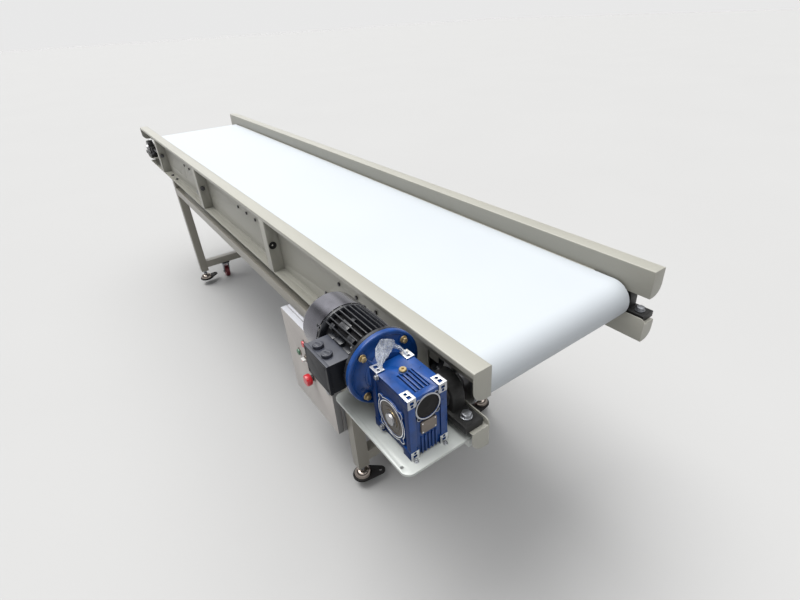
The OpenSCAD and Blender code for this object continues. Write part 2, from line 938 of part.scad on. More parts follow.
module terminal_box_lid() {
    color(black_paint)
        difference() {
            block([terminal_x[0] - 1, terminal_front, terminal_z[0] - 1],
                [terminal_x[1] + 1, terminal_front + terminal_lid, terminal_z[1] + 1]);
            for (x = [terminal_x[0] + 7, terminal_x[1] - 7], z = [terminal_z[0] + 7, terminal_z[1] - 7])
                rod_y(3.5, terminal_front - over, terminal_front + 3, x, z);
        }
}

module terminal_plugs() {
    color(black_rubber)
        for (x = [1248, 1285])
            difference() {
                rod_z(10, terminal_z[1], terminal_z[1] + 8, x, terminal_front + 19);
                block([x - 8, terminal_front + 18, terminal_z[1] + 5], [x + 8, terminal_front + 20, terminal_z[1] + 9]);
            }
}

module breather_bag() {
    top = gearbox_top;
    color([0.80, 0.85, 0.90, 0.5])
        hull() {
            translate([flange_face + 20, gearbox_y - 10, top + 38])
                sphere(5, $fn = 16);
            translate([flange_face + 20, gearbox_y + 16, top + 28])
                sphere(5, $fn = 16);
            translate([flange_face + 38, gearbox_y - 16, top + 40])
                sphere(5, $fn = 16);
            translate([flange_face + 42, gearbox_y - 30, top + 6])
                sphere(5, $fn = 16);
            translate([flange_face + 50, gearbox_y + 18, top + 8])
                sphere(5, $fn = 16);
        }
}

module worm_wheel() {
    color(brass)
        difference() {
            union() {
                rod_y(hub_r, gearbox_y0 + 1, gearbox_y1 - 1, head_x, axis_z);
                rod_y(33, gearbox_y - 14, gearbox_y + 14, head_x, axis_z);
            }
            rod_y(wheel_bore_r + play, gearbox_y0 - over, gearbox_y1 + over, head_x, axis_z);
        }
}

module worm_shaft() {
    worm_start = gearbox_x0 - 20;
    color(steel)
        difference() {
            union() {
                rod_x(11, worm_start, gearbox_x1 - 12, gearbox_y, worm_z);
                rod_x(16, head_x - 30, head_x + 30, gearbox_y, worm_z);
            }
            rod_x(7 + play, worm_start - over, worm_start + 30, gearbox_y, worm_z);
        }
}

module motor_rotor() {
    color(steel)
        union() {
            rod_x(motor_shaft_r, motor_back - 46, flange_face, gearbox_y, worm_z);
            rod_x(36, motor_back + 28, motor_front - 28, gearbox_y, worm_z);
            rod_x(7, flange_face, gearbox_x0 + 8, gearbox_y, worm_z);
        }
}

module motor_fan() {
    x0 = motor_back - 40;
    color([0.15, 0.15, 0.16])
        difference() {
            union() {
                rod_x(16, x0, x0 + 24, gearbox_y, worm_z);
                rod_x(40, x0 + 20, x0 + 24, gearbox_y, worm_z);
                for (angle = [0 : 60 : 300])
                    translate([x0, gearbox_y, worm_z])
                        rotate([angle, 0, 0])
                            block([0, 12, -1.5], [24, 56, 1.5]);
            }
            rod_x(motor_shaft_r + play, x0 - over, x0 + 25, gearbox_y, worm_z);
        }
}

// ---- Control box ----

module control_box() {
    color(box_paint) {
        union() {
            difference() {
                block([box_x, box_front, box_bottom], [box_x1, box_back, box_top]);
                block([box_x + box_sheet, box_front + box_sheet, box_bottom + box_sheet],
                    [box_x1 - box_sheet, box_back - box_sheet, box_top - box_sheet]);
                block([box_x + box_lip, box_front - over, box_bottom + box_lip],
                    [box_x1 - box_lip, box_front + box_sheet + over, box_top - box_lip]);
            }
            for (x = [box_x + 40, box_x1 - 80])
                block([x, -leg_y - tube / 2, box_top], [x + 40, -leg_y + tube / 2 + 60, beam_z]);
            for (z = hinge_z) {
                rod_z(hinge_pin_r, z, z + 3 * hinge_third, hinge_x, hinge_y);
                for (step = [0, 2])
                    hinge_leaf(z + step * hinge_third, box_front + 4);
            }
        }
    }
}

// Part of a hinge: a knuckle and a tab that reaches its own side
module hinge_leaf(z, tab_end) {
    rod_z(hinge_r, z, z + hinge_third, hinge_x, hinge_y);
    block([hinge_x, min(hinge_y, tab_end), z], [box_x, max(hinge_y, tab_end), z + hinge_third]);
}

module control_gear() {
    back = box_back - box_sheet;
    color([0.85, 0.86, 0.86]) {
        block([box_x + 25, back - 4, box_bottom + 30], [box_x1 - 25, back, box_top - 30]);
        for (x = [box_x + 50, box_x + 110, box_x + 170])
            block([x, back - 40, box_top - 120], [x + 45, back - 4, box_top - 50]);
        block([box_x + 50, back - 30, box_bottom + 60], [box_x1 - 50, back - 4, box_bottom + 90]);
    }
}

module control_door() {
    color(box_paint)
        difference() {
            union() {
                block([box_x, door_front, box_bottom], [box_x1, door_back, box_top]);
                for (z = hinge_z) {
                    rod_z(hinge_r, z + hinge_third + 0.2, z + 2 * hinge_third - 0.2, hinge_x, hinge_y);
                    block([hinge_x, door_back - 4, z + hinge_third + 0.2],
                        [box_x + 1, hinge_y, z + 2 * hinge_third - 0.2]);
                }
            }
            block([box_x + 4, door_front + 3, box_bottom + 4], [box_x1 - 4, door_back + over, box_top - 4]);
            for (z = hinge_z) {
                rod_z(hinge_pin_r + play, z, z + 3 * hinge_third, hinge_x, hinge_y);
                translate([0, 0, z])
                    knuckle_room();
            }
            for (at = [stop_at, start_at, selector_at, estop_at])
                rod_y(button_hole_r + play, door_front - over, door_back + over, at[0], at[1]);
            rod_y(8 + play, door_front - over, door_back + over, lock_at[0], lock_at[1]);
        }
}

// Clearance in the door's edge for the fixed knuckles
module knuckle_room() {
    for (step = [0, 2])
        rod_z(hinge_r + 0.8, step * hinge_third - 0.2, (step + 1) * hinge_third + 0.2, hinge_x, hinge_y);
}

module door_lock() {
    x = lock_at[0];
    z = lock_at[1];
    color(zinc)
        union() {
            rod_y(11, door_front - 4, door_front, x, z);
            rod_y(8, door_front, box_front + 5, x, z);
            block([x - 6, box_front + 5, z - 6], [x + 6, box_front + 8, z + 20]);
        }
}

module button_bezels() {
    color(zinc)
        for (at = [stop_at, start_at, selector_at, estop_at])
            difference() {
                rod_y(14.5, door_front - 3, door_front, at[0], at[1]);
                rod_y(button_hole_r + play, door_front - 4, door_front + over, at[0], at[1]);
            }
}

module push_button(at) {
    union() {
        rod_y(button_hole_r, door_front - 8, door_front + 10, at[0], at[1]);
        rod_y(7, door_front + 10, door_front + 24, at[0], at[1]);
    }
}

module start_button() {
    color([0.10, 0.55, 0.20])
        push_button(start_at);
}

module stop_button() {
    color([0.75, 0.10, 0.10])
        push_button(stop_at);
}

module selector_knob() {
    color(black_paint)
        union() {
            rod_y(button_hole_r, door_front - 10, door_front + 10, selector_at[0], selector_at[1]);
            block([selector_at[0] - 4, door_front - 20, selector_at[1] - 10],
                [selector_at[0] + 4, door_front - 10, selector_at[1] + 10]);
        }
}

module emergency_stop() {
    color([0.80, 0.10, 0.10])
        union() {
            rod_y(20, door_front - 30, door_front - 16, estop_at[0], estop_at[1]);
            rod_y(button_hole_r, door_front - 16, door_front + 10, estop_at[0], estop_at[1]);
        }
}

side_rail_near();
side_rail_far();
rail_stiffeners();
slider_bed();
bed_cross_tubes();
frame_bolts();
conveyor_belt();
stand_legs();
stand_rails();
pillow_blocks();
bearing_bolts();
return_roller_shafts();
motor_plate();
gearbox_housing();
gearbox_input_flange();
gearbox_side_covers();
worm_end_cap();
gearbox_oil_plug();
gearbox_bolts();
motor_housing();
motor_shields();
motor_fan_cowl();
terminal_box();
terminal_box_lid();
terminal_plugs();
control_box();
control_gear();
caster_plates();
breather_bag();
head_drum();
drum_shaft();
worm_wheel();
motor_rotor();
worm_shaft();
motor_fan();
takeup_blocks();
takeup_screws();
tail_roller();
tail_shaft();
return_roller(-return_x);  // return_roller_a
return_roller(return_x);  // return_roller_b
control_door();
button_bezels();
door_lock();
start_button();
stop_button();
selector_knob();
emergency_stop();
levelling_foot(-1, -1);  // levelling_foot_a
levelling_foot(-1, 1);  // levelling_foot_b
levelling_foot(1, -1);  // levelling_foot_c
levelling_foot(1, 1);  // levelling_foot_d
caster_fork(-1, -1);  // caster_fork_a
caster_fork(-1, 1);  // caster_fork_b
caster_fork(1, -1);  // caster_fork_c
caster_fork(1, 1);  // caster_fork_d
caster_wheel(-1, -1);  // caster_wheel_a
caster_wheel(-1, 1);  // caster_wheel_b
caster_wheel(1, -1);  // caster_wheel_c
caster_wheel(1, 1);  // caster_wheel_d
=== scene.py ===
import json
from math import acos, atan2, cos, degrees, hypot, pi, radians, sin, sqrt

import bmesh
import bpy
from mathutils import Matrix, Vector, noise


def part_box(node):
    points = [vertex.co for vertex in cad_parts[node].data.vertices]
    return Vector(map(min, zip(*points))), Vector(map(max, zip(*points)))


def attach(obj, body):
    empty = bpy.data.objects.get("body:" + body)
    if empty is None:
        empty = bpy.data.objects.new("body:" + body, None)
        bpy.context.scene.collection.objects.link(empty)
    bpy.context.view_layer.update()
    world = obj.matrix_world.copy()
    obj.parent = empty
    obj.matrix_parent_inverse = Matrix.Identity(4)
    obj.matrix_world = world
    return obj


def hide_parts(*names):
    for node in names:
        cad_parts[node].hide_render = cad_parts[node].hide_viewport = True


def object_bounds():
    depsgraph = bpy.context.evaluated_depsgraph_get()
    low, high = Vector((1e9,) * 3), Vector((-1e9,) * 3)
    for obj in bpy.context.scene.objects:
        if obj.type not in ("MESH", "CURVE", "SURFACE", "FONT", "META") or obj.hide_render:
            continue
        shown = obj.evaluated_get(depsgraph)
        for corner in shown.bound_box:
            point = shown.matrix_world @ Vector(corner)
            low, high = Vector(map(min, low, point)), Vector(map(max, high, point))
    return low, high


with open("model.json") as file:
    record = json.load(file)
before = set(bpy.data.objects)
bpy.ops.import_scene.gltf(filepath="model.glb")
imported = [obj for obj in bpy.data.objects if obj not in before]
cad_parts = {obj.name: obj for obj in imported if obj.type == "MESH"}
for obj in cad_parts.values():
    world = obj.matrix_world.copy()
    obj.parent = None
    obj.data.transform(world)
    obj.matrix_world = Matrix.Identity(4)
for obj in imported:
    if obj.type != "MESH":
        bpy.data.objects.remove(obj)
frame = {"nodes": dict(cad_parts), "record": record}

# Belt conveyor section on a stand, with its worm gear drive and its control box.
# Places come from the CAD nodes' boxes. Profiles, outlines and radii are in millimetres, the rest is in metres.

cad_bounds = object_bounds()

MM = 0.001
X_AXIS = Vector((1, 0, 0))
Y_AXIS = Vector((0, 1, 0))
Z_AXIS = Vector((0, 0, 1))
NODE_SLOT = {row["node"]: row["material_slot"] for row in frame["record"]["subparts"]}
NODE_BODY = {n: body for body, nodes in frame["record"]["behaviour"]["bodies"].items() for n in nodes}
CORNERS = {"a": (-1, -1), "b": (-1, 1), "c": (1, -1), "d": (1, 1)}  # signs of x and y at the stand's corners
SIDES = ((-1, "near"), (1, "far"))  # sign of y, and the side's name
DIAGONALS = [pi / 4 + k * pi / 2 for k in range(4)]  # angles of four bolts around a centre
ALONG_X = Matrix(((0, 0, 1, 0), (1, 0, 0, 0), (0, 1, 0, 0), (0, 0, 0, 1)))  # outline in YZ, thickness along X
STANDING = Matrix(((1, 0, 0, 0), (0, 0, -1, 0), (0, 1, 0, 0), (0, 0, 0, 1)))  # outline in XZ, thickness along -Y


# ---- Camera, lights and floor ----

# Solved from the photograph's edges
CAMERA_PLACE = (1.982, -0.7324, 0.5827)
CAMERA_TURN = (58.97, 2.573, 53.29)
CAMERA_LENS = 21.47
CAMERA_SHIFT = (-0.0233, -0.0014)

# Ramps that add up to the sky's strength: start and end of the ramp, strength before and after it
SKY_HORIZON = (0.16, 0.54, 0.73, 0)
SKY_OVERHEAD = (0.58, 0.86, 0.08, 2.90)
SKY_PATCH = (0.89, 0.98, 0, 1.3)
SKY_PATCH_DIRECTION = (-0.84, 0.10, 0.53)

KEY_LIGHT_DIRECTION = (-0.26, -0.12, 0.96)
KEY_LIGHT_STRENGTH = 2.9
KEY_LIGHT_ANGLE = 40
KEY_LIGHT_COLOUR = (1.0, 0.99, 0.97)
FLOOR_ALBEDO = 0.322
FLOOR_HALF_SIZE = 60


def make_camera():
    data = bpy.data.cameras.new("camera")
    data.lens = CAMERA_LENS
    data.shift_x, data.shift_y = CAMERA_SHIFT
    data.clip_end = 200
    camera = bpy.data.objects.new("camera", data)
    camera.location = CAMERA_PLACE
    camera.rotation_euler = [radians(angle) for angle in CAMERA_TURN]
    bpy.context.scene.collection.objects.link(camera)
    bpy.context.scene.camera = camera


def make_key_light():
    data = bpy.data.lights.new("key_light", "SUN")
    data.energy = KEY_LIGHT_STRENGTH
    data.angle = radians(KEY_LIGHT_ANGLE)
    data.color = KEY_LIGHT_COLOUR
    lamp = bpy.data.objects.new("key_light", data)
    lamp.rotation_euler = Vector(KEY_LIGHT_DIRECTION).to_track_quat("Z", "Y").to_euler()
    bpy.context.scene.collection.objects.link(lamp)


def make_world():
    """Pale horizon that fades upwards, a wide soft light overhead and a soft patch of light towards -X."""
    world = bpy.data.worlds.new("studio")
    world.use_nodes = True
    nodes = world.node_tree.nodes
    link = world.node_tree.links.new
    direction = nodes.new("ShaderNodeTexCoord").outputs["Generated"]
    parts = nodes.new("ShaderNodeSeparateXYZ")
    link(direction, parts.inputs["Vector"])
    patch = nodes.new("ShaderNodeVectorMath")
    patch.operation = "DOT_PRODUCT"
    patch.inputs[1].default_value = Vector(SKY_PATCH_DIRECTION).normalized()
    link(direction, patch.inputs[0])
    total = None
    up = parts.outputs["Z"]
    for source, values in ((up, SKY_HORIZON), (up, SKY_OVERHEAD), (patch.outputs["Value"], SKY_PATCH)):
        ramp = add_ramp(nodes, *values)
        ramp.interpolation_type = "SMOOTHSTEP"
        link(source, ramp.inputs["Value"])
        added = nodes.new("ShaderNodeMath")
        added.inputs[0].default_value = 0
        if total:
            link(total, added.inputs[0])
        link(ramp.outputs["Result"], added.inputs[1])
        total = added.outputs["Value"]
    background = nodes["Background"]
    background.inputs["Color"].default_value = (1.0, 1.0, 1.0, 1)
    link(total, background.inputs["Strength"])
    bpy.context.scene.world = world


def make_stage():
    make_world()
    make_key_light()
    bm = bmesh.new()
    bmesh.ops.create_grid(bm, x_segments=4, y_segments=4, size=FLOOR_HALF_SIZE)
    mesh = bpy.data.meshes.new("floor")
    bm.to_mesh(mesh)
    bm.free()
    floor = bpy.data.objects.new("floor", mesh)
    floor.location = (0, 0, cad_bounds[0].z)
    floor.data.materials.append(surface("floor_pale", [FLOOR_ALBEDO] * 3, 0.95, mottle=0.01, mottle_size=1.5,
                                        specular=0.1))
    bpy.context.scene.collection.objects.link(floor)
    bpy.context.scene.view_settings.view_transform = "Standard"


# ---- Materials ----

def add_node(nodes, kind, **inputs):
    """A shader node with values for its inputs; an underscore stands for a space in an input's name."""
    node = nodes.new("ShaderNode" + kind)
    for name, value in inputs.items():
        node.inputs[name.replace("_", " ")].default_value = value
    return node


def add_ramp(nodes, start=0, end=1, before=0, after=1):
    """Goes from before to after while its value goes from start to end."""
    return add_node(nodes, "MapRange", From_Min=start, From_Max=end, To_Min=before, To_Max=after)


def add_colour_mix(nodes, **inputs):
    mix = nodes.new("ShaderNodeMix")
    mix.data_type = "RGBA"
    for name, value in inputs.items():
        mix.inputs[name].default_value = value
    return mix


def surface(name, colour, roughness, metallic=0.0, mottle=0.05, mottle_size=0.06, grain=0.0, grain_size=0.002,
            stretch=(1, 1, 1), coat=0.0, spread=0.08, dirt=0.0, specular=0.5):
    """Principled surface with mottled colour, uneven gloss (spread), a bump (grain) and smudges (dirt)."""
    material = bpy.data.materials.new(name)
    material.use_nodes = True
    nodes = material.node_tree.nodes
    link = material.node_tree.links.new
    shader = nodes["Principled BSDF"]
    for name, value in (("Metallic", metallic), ("Coat Weight", coat), ("Coat Roughness", 0.15),
                        ("Specular IOR Level", specular)):
        shader.inputs[name].default_value = value
    place = nodes.new("ShaderNodeTexCoord").outputs["Object"]
    mapping = add_node(nodes, "Mapping", Scale=stretch)
    link(place, mapping.inputs["Vector"])
    cloud = add_node(nodes, "TexNoise", Scale=1 / mottle_size, Detail=5)
    link(mapping.outputs["Vector"], cloud.inputs["Vector"])
    contrast = add_ramp(nodes, 0.3, 0.7)
    link(cloud.outputs["Fac"], contrast.inputs["Value"])
    tint = add_colour_mix(nodes, A=[c * (1 - mottle) for c in colour] + [1],
                          B=[min(1, c * (1 + mottle)) for c in colour] + [1])
    link(contrast.outputs["Result"], tint.inputs["Factor"])
    result = tint.outputs["Result"]
    if dirt:
        result = add_dirt(nodes, link, place, result, dirt)
    link(result, shader.inputs["Base Color"])
    gloss = add_ramp(nodes, before=max(0.02, roughness - spread), after=min(1, roughness + spread))
    link(cloud.outputs["Fac"], gloss.inputs["Value"])
    link(gloss.outputs["Result"], shader.inputs["Roughness"])
    if grain:
        fine = add_node(nodes, "TexNoise", Scale=1 / grain_size, Detail=3)
        link(mapping.outputs["Vector"], fine.inputs["Vector"])
        bump = add_node(nodes, "Bump", Distance=grain, Strength=1)
        link(fine.outputs["Fac"], bump.inputs["Height"])
        link(bump.outputs["Normal"], shader.inputs["Normal"])
    return material


def add_dirt(nodes, link, place, colour, amount):
    """Faint smudges that darken a painted face here and there."""
    smudge = add_node(nodes, "TexNoise", Scale=9, Detail=8, Roughness=0.65)
    link(place, smudge.inputs["Vector"])
    ramp = add_ramp(nodes, 0.56, 0.72, 0, amount)
    link(smudge.outputs["Fac"], ramp.inputs["Value"])
    mix = add_colour_mix(nodes, B=(0.09, 0.085, 0.07, 1))
    link(ramp.outputs["Result"], mix.inputs["Factor"])
    link(colour, mix.inputs["A"])
    return mix.outputs["Result"]


def film(name):
    """Clear plastic film, a little milky, with whiter streaks and denser where it is seen edge on."""
    material = surface(name, (0.50, 0.53, 0.57), 0.14, mottle=0.04, mottle_size=0.02, grain=0.0004,
                       grain_size=0.025)
    nodes = material.node_tree.nodes
    link = material.node_tree.links.new
    pull = add_node(nodes, "Mapping", Scale=(1, 1, 0.3))
    link(nodes.new("ShaderNodeTexCoord").outputs["Object"], pull.inputs["Vector"])
    streaks = add_node(nodes, "TexNoise", Scale=110, Detail=3, Roughness=0.6)
    link(pull.outputs["Vector"], streaks.inputs["Vector"])
    strength = add_ramp(nodes, 0.38, 0.66, 0.16, 0.50)
    link(streaks.outputs["Fac"], strength.inputs["Value"])
    edge = add_node(nodes, "LayerWeight", Blend=0.35)
    total = nodes.new("ShaderNodeMath")
    total.operation = "MULTIPLY_ADD"
    total.use_clamp = True
    total.inputs[1].default_value = 0.45
    link(edge.outputs["Facing"], total.inputs[0])
    link(strength.outputs["Result"], total.inputs[2])
    link(total.outputs["Value"], nodes["Principled BSDF"].inputs["Alpha"])
    return material


# Colour, roughness, metallic, mottle, mottle size, grain, grain size, and what else differs from the defaults
SURFACES = {
    "frame_paint": ((0.255, 0.251, 0.221), 0.40, 0, 0.03, 0.25, 0.00003, 0.0012, {"dirt": 0.10}),
    # painted shade: the stand paint is darker than the frame paint, for the shade under the conveyor
    "stand_painted_shade": ((0.195, 0.184, 0.158), 0.36, 0, 0.03, 0.25, 0.00003, 0.0012, {"dirt": 0.10}),
    "plate_paint": ((0.345, 0.362, 0.350), 0.34, 0, 0.03, 0.10, 0.00003, 0.0012, {"dirt": 0.10}),
    "box_paint": ((0.330, 0.308, 0.292), 0.38, 0, 0.03, 0.20, 0.00005, 0.0015, {"dirt": 0.05}),
    "belt": ((0.368, 0.393, 0.418), 0.50, 0, 0.012, 0.35, 0.000012, 0.0009, {"spread": 0.05, "specular": 0.3}),
    "blue_cast": ((0.002, 0.034, 0.155), 0.30, 0, 0.22, 0.018, 0.00022, 0.0025, {"coat": 0.05, "specular": 0.35}),
    # painted shade: a darker blue for the gearbox's faces that look along ±Y
    "blue_painted_shade": ((0.001, 0.014, 0.072), 0.40, 0, 0.22, 0.018, 0.00022, 0.0025, {"specular": 0.08}),
    "machined": ((0.80, 0.81, 0.82), 0.30, 0.85, 0.05, 0.004, 0.00002, 0.0006, {"stretch": (1, 6, 1)}),
    # two darker copies of machined metal: painted shade and dark reflection on the side rings, painted shade on
    # the end rings and upper pads
    "machined_side_painted_shade": ((0.012, 0.018, 0.045), 0.32, 0.3, 0.10, 0.005, 0.00003, 0.0008, {}),
    "machined_painted_shade": ((0.42, 0.43, 0.45), 0.34, 0.8, 0.08, 0.005, 0.00003, 0.0008, {}),
    "terminal_grey": ((0.008, 0.009, 0.012), 0.40, 0, 0.12, 0.02, 0.00008, 0.003, {"specular": 0.10}),
    # painted highlight: a lighter copy of the terminal grey for top faces and the plugs
    "terminal_painted_highlight": ((0.026, 0.029, 0.040), 0.32, 0, 0.15, 0.02, 0.00008, 0.003, {}),
    # painted shade: darker than the motor's black, for the core between the fins
    "motor_gap_painted_shade": ((0.004, 0.004, 0.005), 0.6, 0, 0.2, 0.01, 0.0002, 0.003, {"specular": 0.15}),
    # painted shade: a darker copy of zinc for bolts and screws in recesses
    "zinc_painted_shade": ((0.085, 0.085, 0.090), 0.40, 0.9, 0.12, 0.006, 0.00003, 0.0008, {}),
    # painted highlight on the box's tops and painted shade on its +X sides: a lighter and a darker copy of the box
    # paint
    "box_top": ((0.47, 0.48, 0.52), 0.34, 0, 0.03, 0.20, 0.00005, 0.0015, {}),
    "box_side_painted_shade": ((0.150, 0.150, 0.152), 0.34, 0, 0.06, 0.20, 0.00005, 0.0015, {}),
    "motor_black": ((0.009, 0.010, 0.013), 0.28, 0, 0.30, 0.012, 0.00028, 0.003, {"coat": 0.1}),
    "cowl": ((0.162, 0.160, 0.180), 0.20, 0.95, 0.10, 0.03, 0.00002, 0.001, {}),
    "cast_black": ((0.017, 0.017, 0.017), 0.42, 0, 0.25, 0.012, 0.00025, 0.0025, {"specular": 0.2}),
    "plastic_black": ((0.018, 0.018, 0.020), 0.45, 0, 0.15, 0.01, 0.00008, 0.001, {}),
    "rubber": ((0.010, 0.0095, 0.0095), 0.75, 0, 0.2, 0.01, 0.0001, 0.0014, {"specular": 0.25}),
    "zinc": ((0.29, 0.30, 0.32), 0.38, 0.95, 0.10, 0.006, 0.00002, 0.0008, {}),
    "gold_zinc": ((0.42, 0.32, 0.17), 0.34, 0.9, 0.18, 0.005, 0.00003, 0.0009, {}),
    "brass": ((0.50, 0.39, 0.21), 0.30, 1.0, 0.10, 0.004, 0.00002, 0.0007, {}),
    "steel": ((0.36, 0.36, 0.37), 0.38, 1.0, 0.08, 0.01, 0.00002, 0.0008, {"stretch": (1, 8, 1)}),
    # painted reflection: the chrome is darkened and tinted brown to look like dark surroundings mirrored in it
    "chrome": ((0.27, 0.235, 0.21), 0.10, 1.0, 0.04, 0.02, 0.00001, 0.002, {"spread": 0.05}),
    "cover_bronze": ((0.060, 0.050, 0.042), 0.40, 0.3, 0.20, 0.006, 0.00006, 0.0012, {}),
    "nameplate": ((0.17, 0.145, 0.125), 0.42, 0.6, 0.12, 0.006, 0.00003, 0.0007, {"stretch": (1, 1, 8)}),
    "wheel_red": ((0.10, 0.005, 0.010), 0.40, 0, 0.15, 0.02, 0.00005, 0.0012, {}),
    "red_plastic": ((0.42, 0.008, 0.016), 0.30, 0, 0.06, 0.01, 0.00003, 0.0009, {"coat": 0.3}),
    "green_plastic": ((0.010, 0.085, 0.035), 0.30, 0, 0.06, 0.01, 0.00003, 0.0009, {"coat": 0.3}),
    "white_label": ((0.42, 0.42, 0.41), 0.5, 0, 0.05, 0.01, 0.00002, 0.0008, {}),
    "gear_plastic": ((0.34, 0.35, 0.35), 0.5, 0, 0.06, 0.03, 0.00004, 0.001, {}),
}
M = {name: surface(name, *values, **rest) for name, (*values, rest) in SURFACES.items()}
M["film"] = film("film")
# The material of each slot of the record that isn't named like its material
SLOT_MATERIAL = {"gearbox_blue": "blue_cast", "cowl_paint": "cowl", "belt_white": "belt", "clear_film": "film",
                 "black_plastic": "plastic_black", "fan_plastic": "plastic_black"}


# ---- Mesh helpers ----

def facing(axis, origin):
    """Matrix that stands a shape made along local Z on origin, pointing along axis."""
    turn = Z_AXIS.rotation_difference(Vector(axis)).to_matrix().to_4x4()
    return Matrix.Translation(Vector(origin)) @ turn


def spin(angle):
    return Matrix.Rotation(angle, 4, "Z")


def lift(height):
    return Matrix.Translation((0, 0, height * MM))


def polar(angle, radius):
    return Matrix.Translation(Vector((cos(angle), sin(angle), 0)) * radius * MM)


def lathe(bm, profile, matrix, steps=48, closed=False):
    """Turns a profile of (height, radius) in millimetres about local Z."""
    rings = []
    for height, radius in profile:
        if radius < 1e-6:
            rings.append([bm.verts.new(matrix @ Vector((0, 0, height * MM)))])
            continue
        ring = []
        for step in range(steps):
            angle = 2 * pi * step / steps
            point = Vector((radius * cos(angle), radius * sin(angle), height)) * MM
            ring.append(bm.verts.new(matrix @ point))
        rings.append(ring)
    pairs = list(zip(rings, rings[1:]))
    if closed:
        pairs.append((rings[-1], rings[0]))
    for low, high in pairs:
        for step in range(steps):
            after = (step + 1) % steps
            corners = (low[step % len(low)], low[after % len(low)],
                       high[after % len(high)], high[step % len(high)])
            unique = list(dict.fromkeys(corners))
            if len(unique) > 2:
                bm.faces.new(unique)


def arc(centre, radius, start, end, steps=6):
    """Points on an arc, as (height, radius) or (u, v) pairs; angles in degrees."""
    points = []
    for step in range(steps + 1):
        angle = radians(start + (end - start) * step / steps)
        points.append((centre[0] + radius * cos(angle), centre[1] + radius * sin(angle)))
    return points


def mirrored(half):
    """A closed profile from its half on the side of positive height, inner point first."""
    return [(-height, radius) for height, radius in half] + half[::-1]


def rounded(points, radius, steps=4):
    """A closed outline with each corner rounded."""
    result = []
    for index, point in enumerate(points):
        here = Vector(point)
        before = Vector(points[index - 1]) - here
        after = Vector(points[(index + 1) % len(points)]) - here
        reach = min(radius, before.length * 0.49, after.length * 0.49)
        start = here + before.normalized() * reach
        end = here + after.normalized() * reach
        for step in range(steps + 1):
            t = step / steps
            result.append(tuple(start * (1 - t) ** 2 + here * (2 * t * (1 - t)) + end * t ** 2))
    return result


def flat_ring(bm, points, height, matrix):
    """Vertices at points of (u, v) and one height, all in millimetres."""
    return [bm.verts.new(matrix @ (Vector((u, v, height)) * MM)) for u, v in points]


def bridge(bm, ring, after):
    """Faces between two closed rings of vertices."""
    count = len(ring)
    for k in range(count):
        bm.faces.new((ring[k], ring[(k + 1) % count], after[(k + 1) % count], after[k]))


def prism(bm, outline, low, high, matrix):
    """Extrudes an outline of (u, v) in millimetres from low to high along local Z."""
    bottom = flat_ring(bm, outline, low, matrix)
    top = flat_ring(bm, outline, high, matrix)
    bm.faces.new(list(reversed(bottom)))
    bm.faces.new(top)
    bridge(bm, bottom, top)


def hex_head(bm, flats, height, matrix):
    """Chamfered hexagon head standing on local Z = 0."""
    r = flats / 2 / cos(pi / 6)
    lathe(bm, [(0, 0), (0, r), (height - 0.13 * r, r), (height, 0.84 * r), (height, 0)], matrix, steps=6)


def washer(bm, outer, inner, height, matrix):
    lathe(bm, [(0, inner), (0, outer), (height * 0.7, outer), (height, outer - 0.5), (height, inner)], matrix,
          steps=32, closed=True)


def bake(obj):
    """Replaces an object's mesh with what its modifiers make of it."""
    graph = bpy.context.evaluated_depsgraph_get()
    mesh = bpy.data.meshes.new_from_object(obj.evaluated_get(graph), depsgraph=graph)
    obj.modifiers.clear()
    obj.data = mesh


def smooth(mesh, angle=32):
    for polygon in mesh.polygons:
        polygon.use_smooth = True
    mesh.set_sharp_from_angle(angle=radians(angle))


def soften(obj, width, segments):
    modifier = obj.modifiers.new("edges", "BEVEL")
    modifier.width = width * MM
    modifier.segments = segments
    modifier.limit_method = "ANGLE"
    modifier.angle_limit = radians(35)
    bake(obj)


def piece(name, bm, material, body, replaces=(), bevel=0.0, segments=2, angle=32):
    """Makes an object of a bmesh, softens its edges by bevel millimetres and rides it on a body."""
    mesh = bpy.data.meshes.new(name)
    bmesh.ops.recalc_face_normals(bm, faces=bm.faces[:])
    bm.to_mesh(mesh)
    bm.free()
    mesh.materials.append(M[material])
    obj = bpy.data.objects.new(name, mesh)
    bpy.context.scene.collection.objects.link(obj)
    if bevel:
        soften(obj, bevel, segments)
    smooth(obj.data, angle)
    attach(obj, body)
    if replaces:
        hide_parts(*replaces)
    return obj


def turned(name, profile, matrix, steps, material, body, replaces=(), closed=False):
    """A piece made of one turned profile."""
    bm = bmesh.new()
    lathe(bm, profile, matrix, steps, closed)
    return piece(name, bm, material, body, replaces)


def extruded(name, outline, low, high, matrix, material, body, bevel=0.0):
    """A piece made of one extruded outline."""
    bm = bmesh.new()
    prism(bm, outline, low, high, matrix)
    return piece(name, bm, material, body, bevel=bevel)


FOLD_LEAST_LENGTH = 50 * MM  # shorter edges aren't folds
FOLD_REACH = 0.2 * MM
FOLD_ROUND = 3.6 * MM


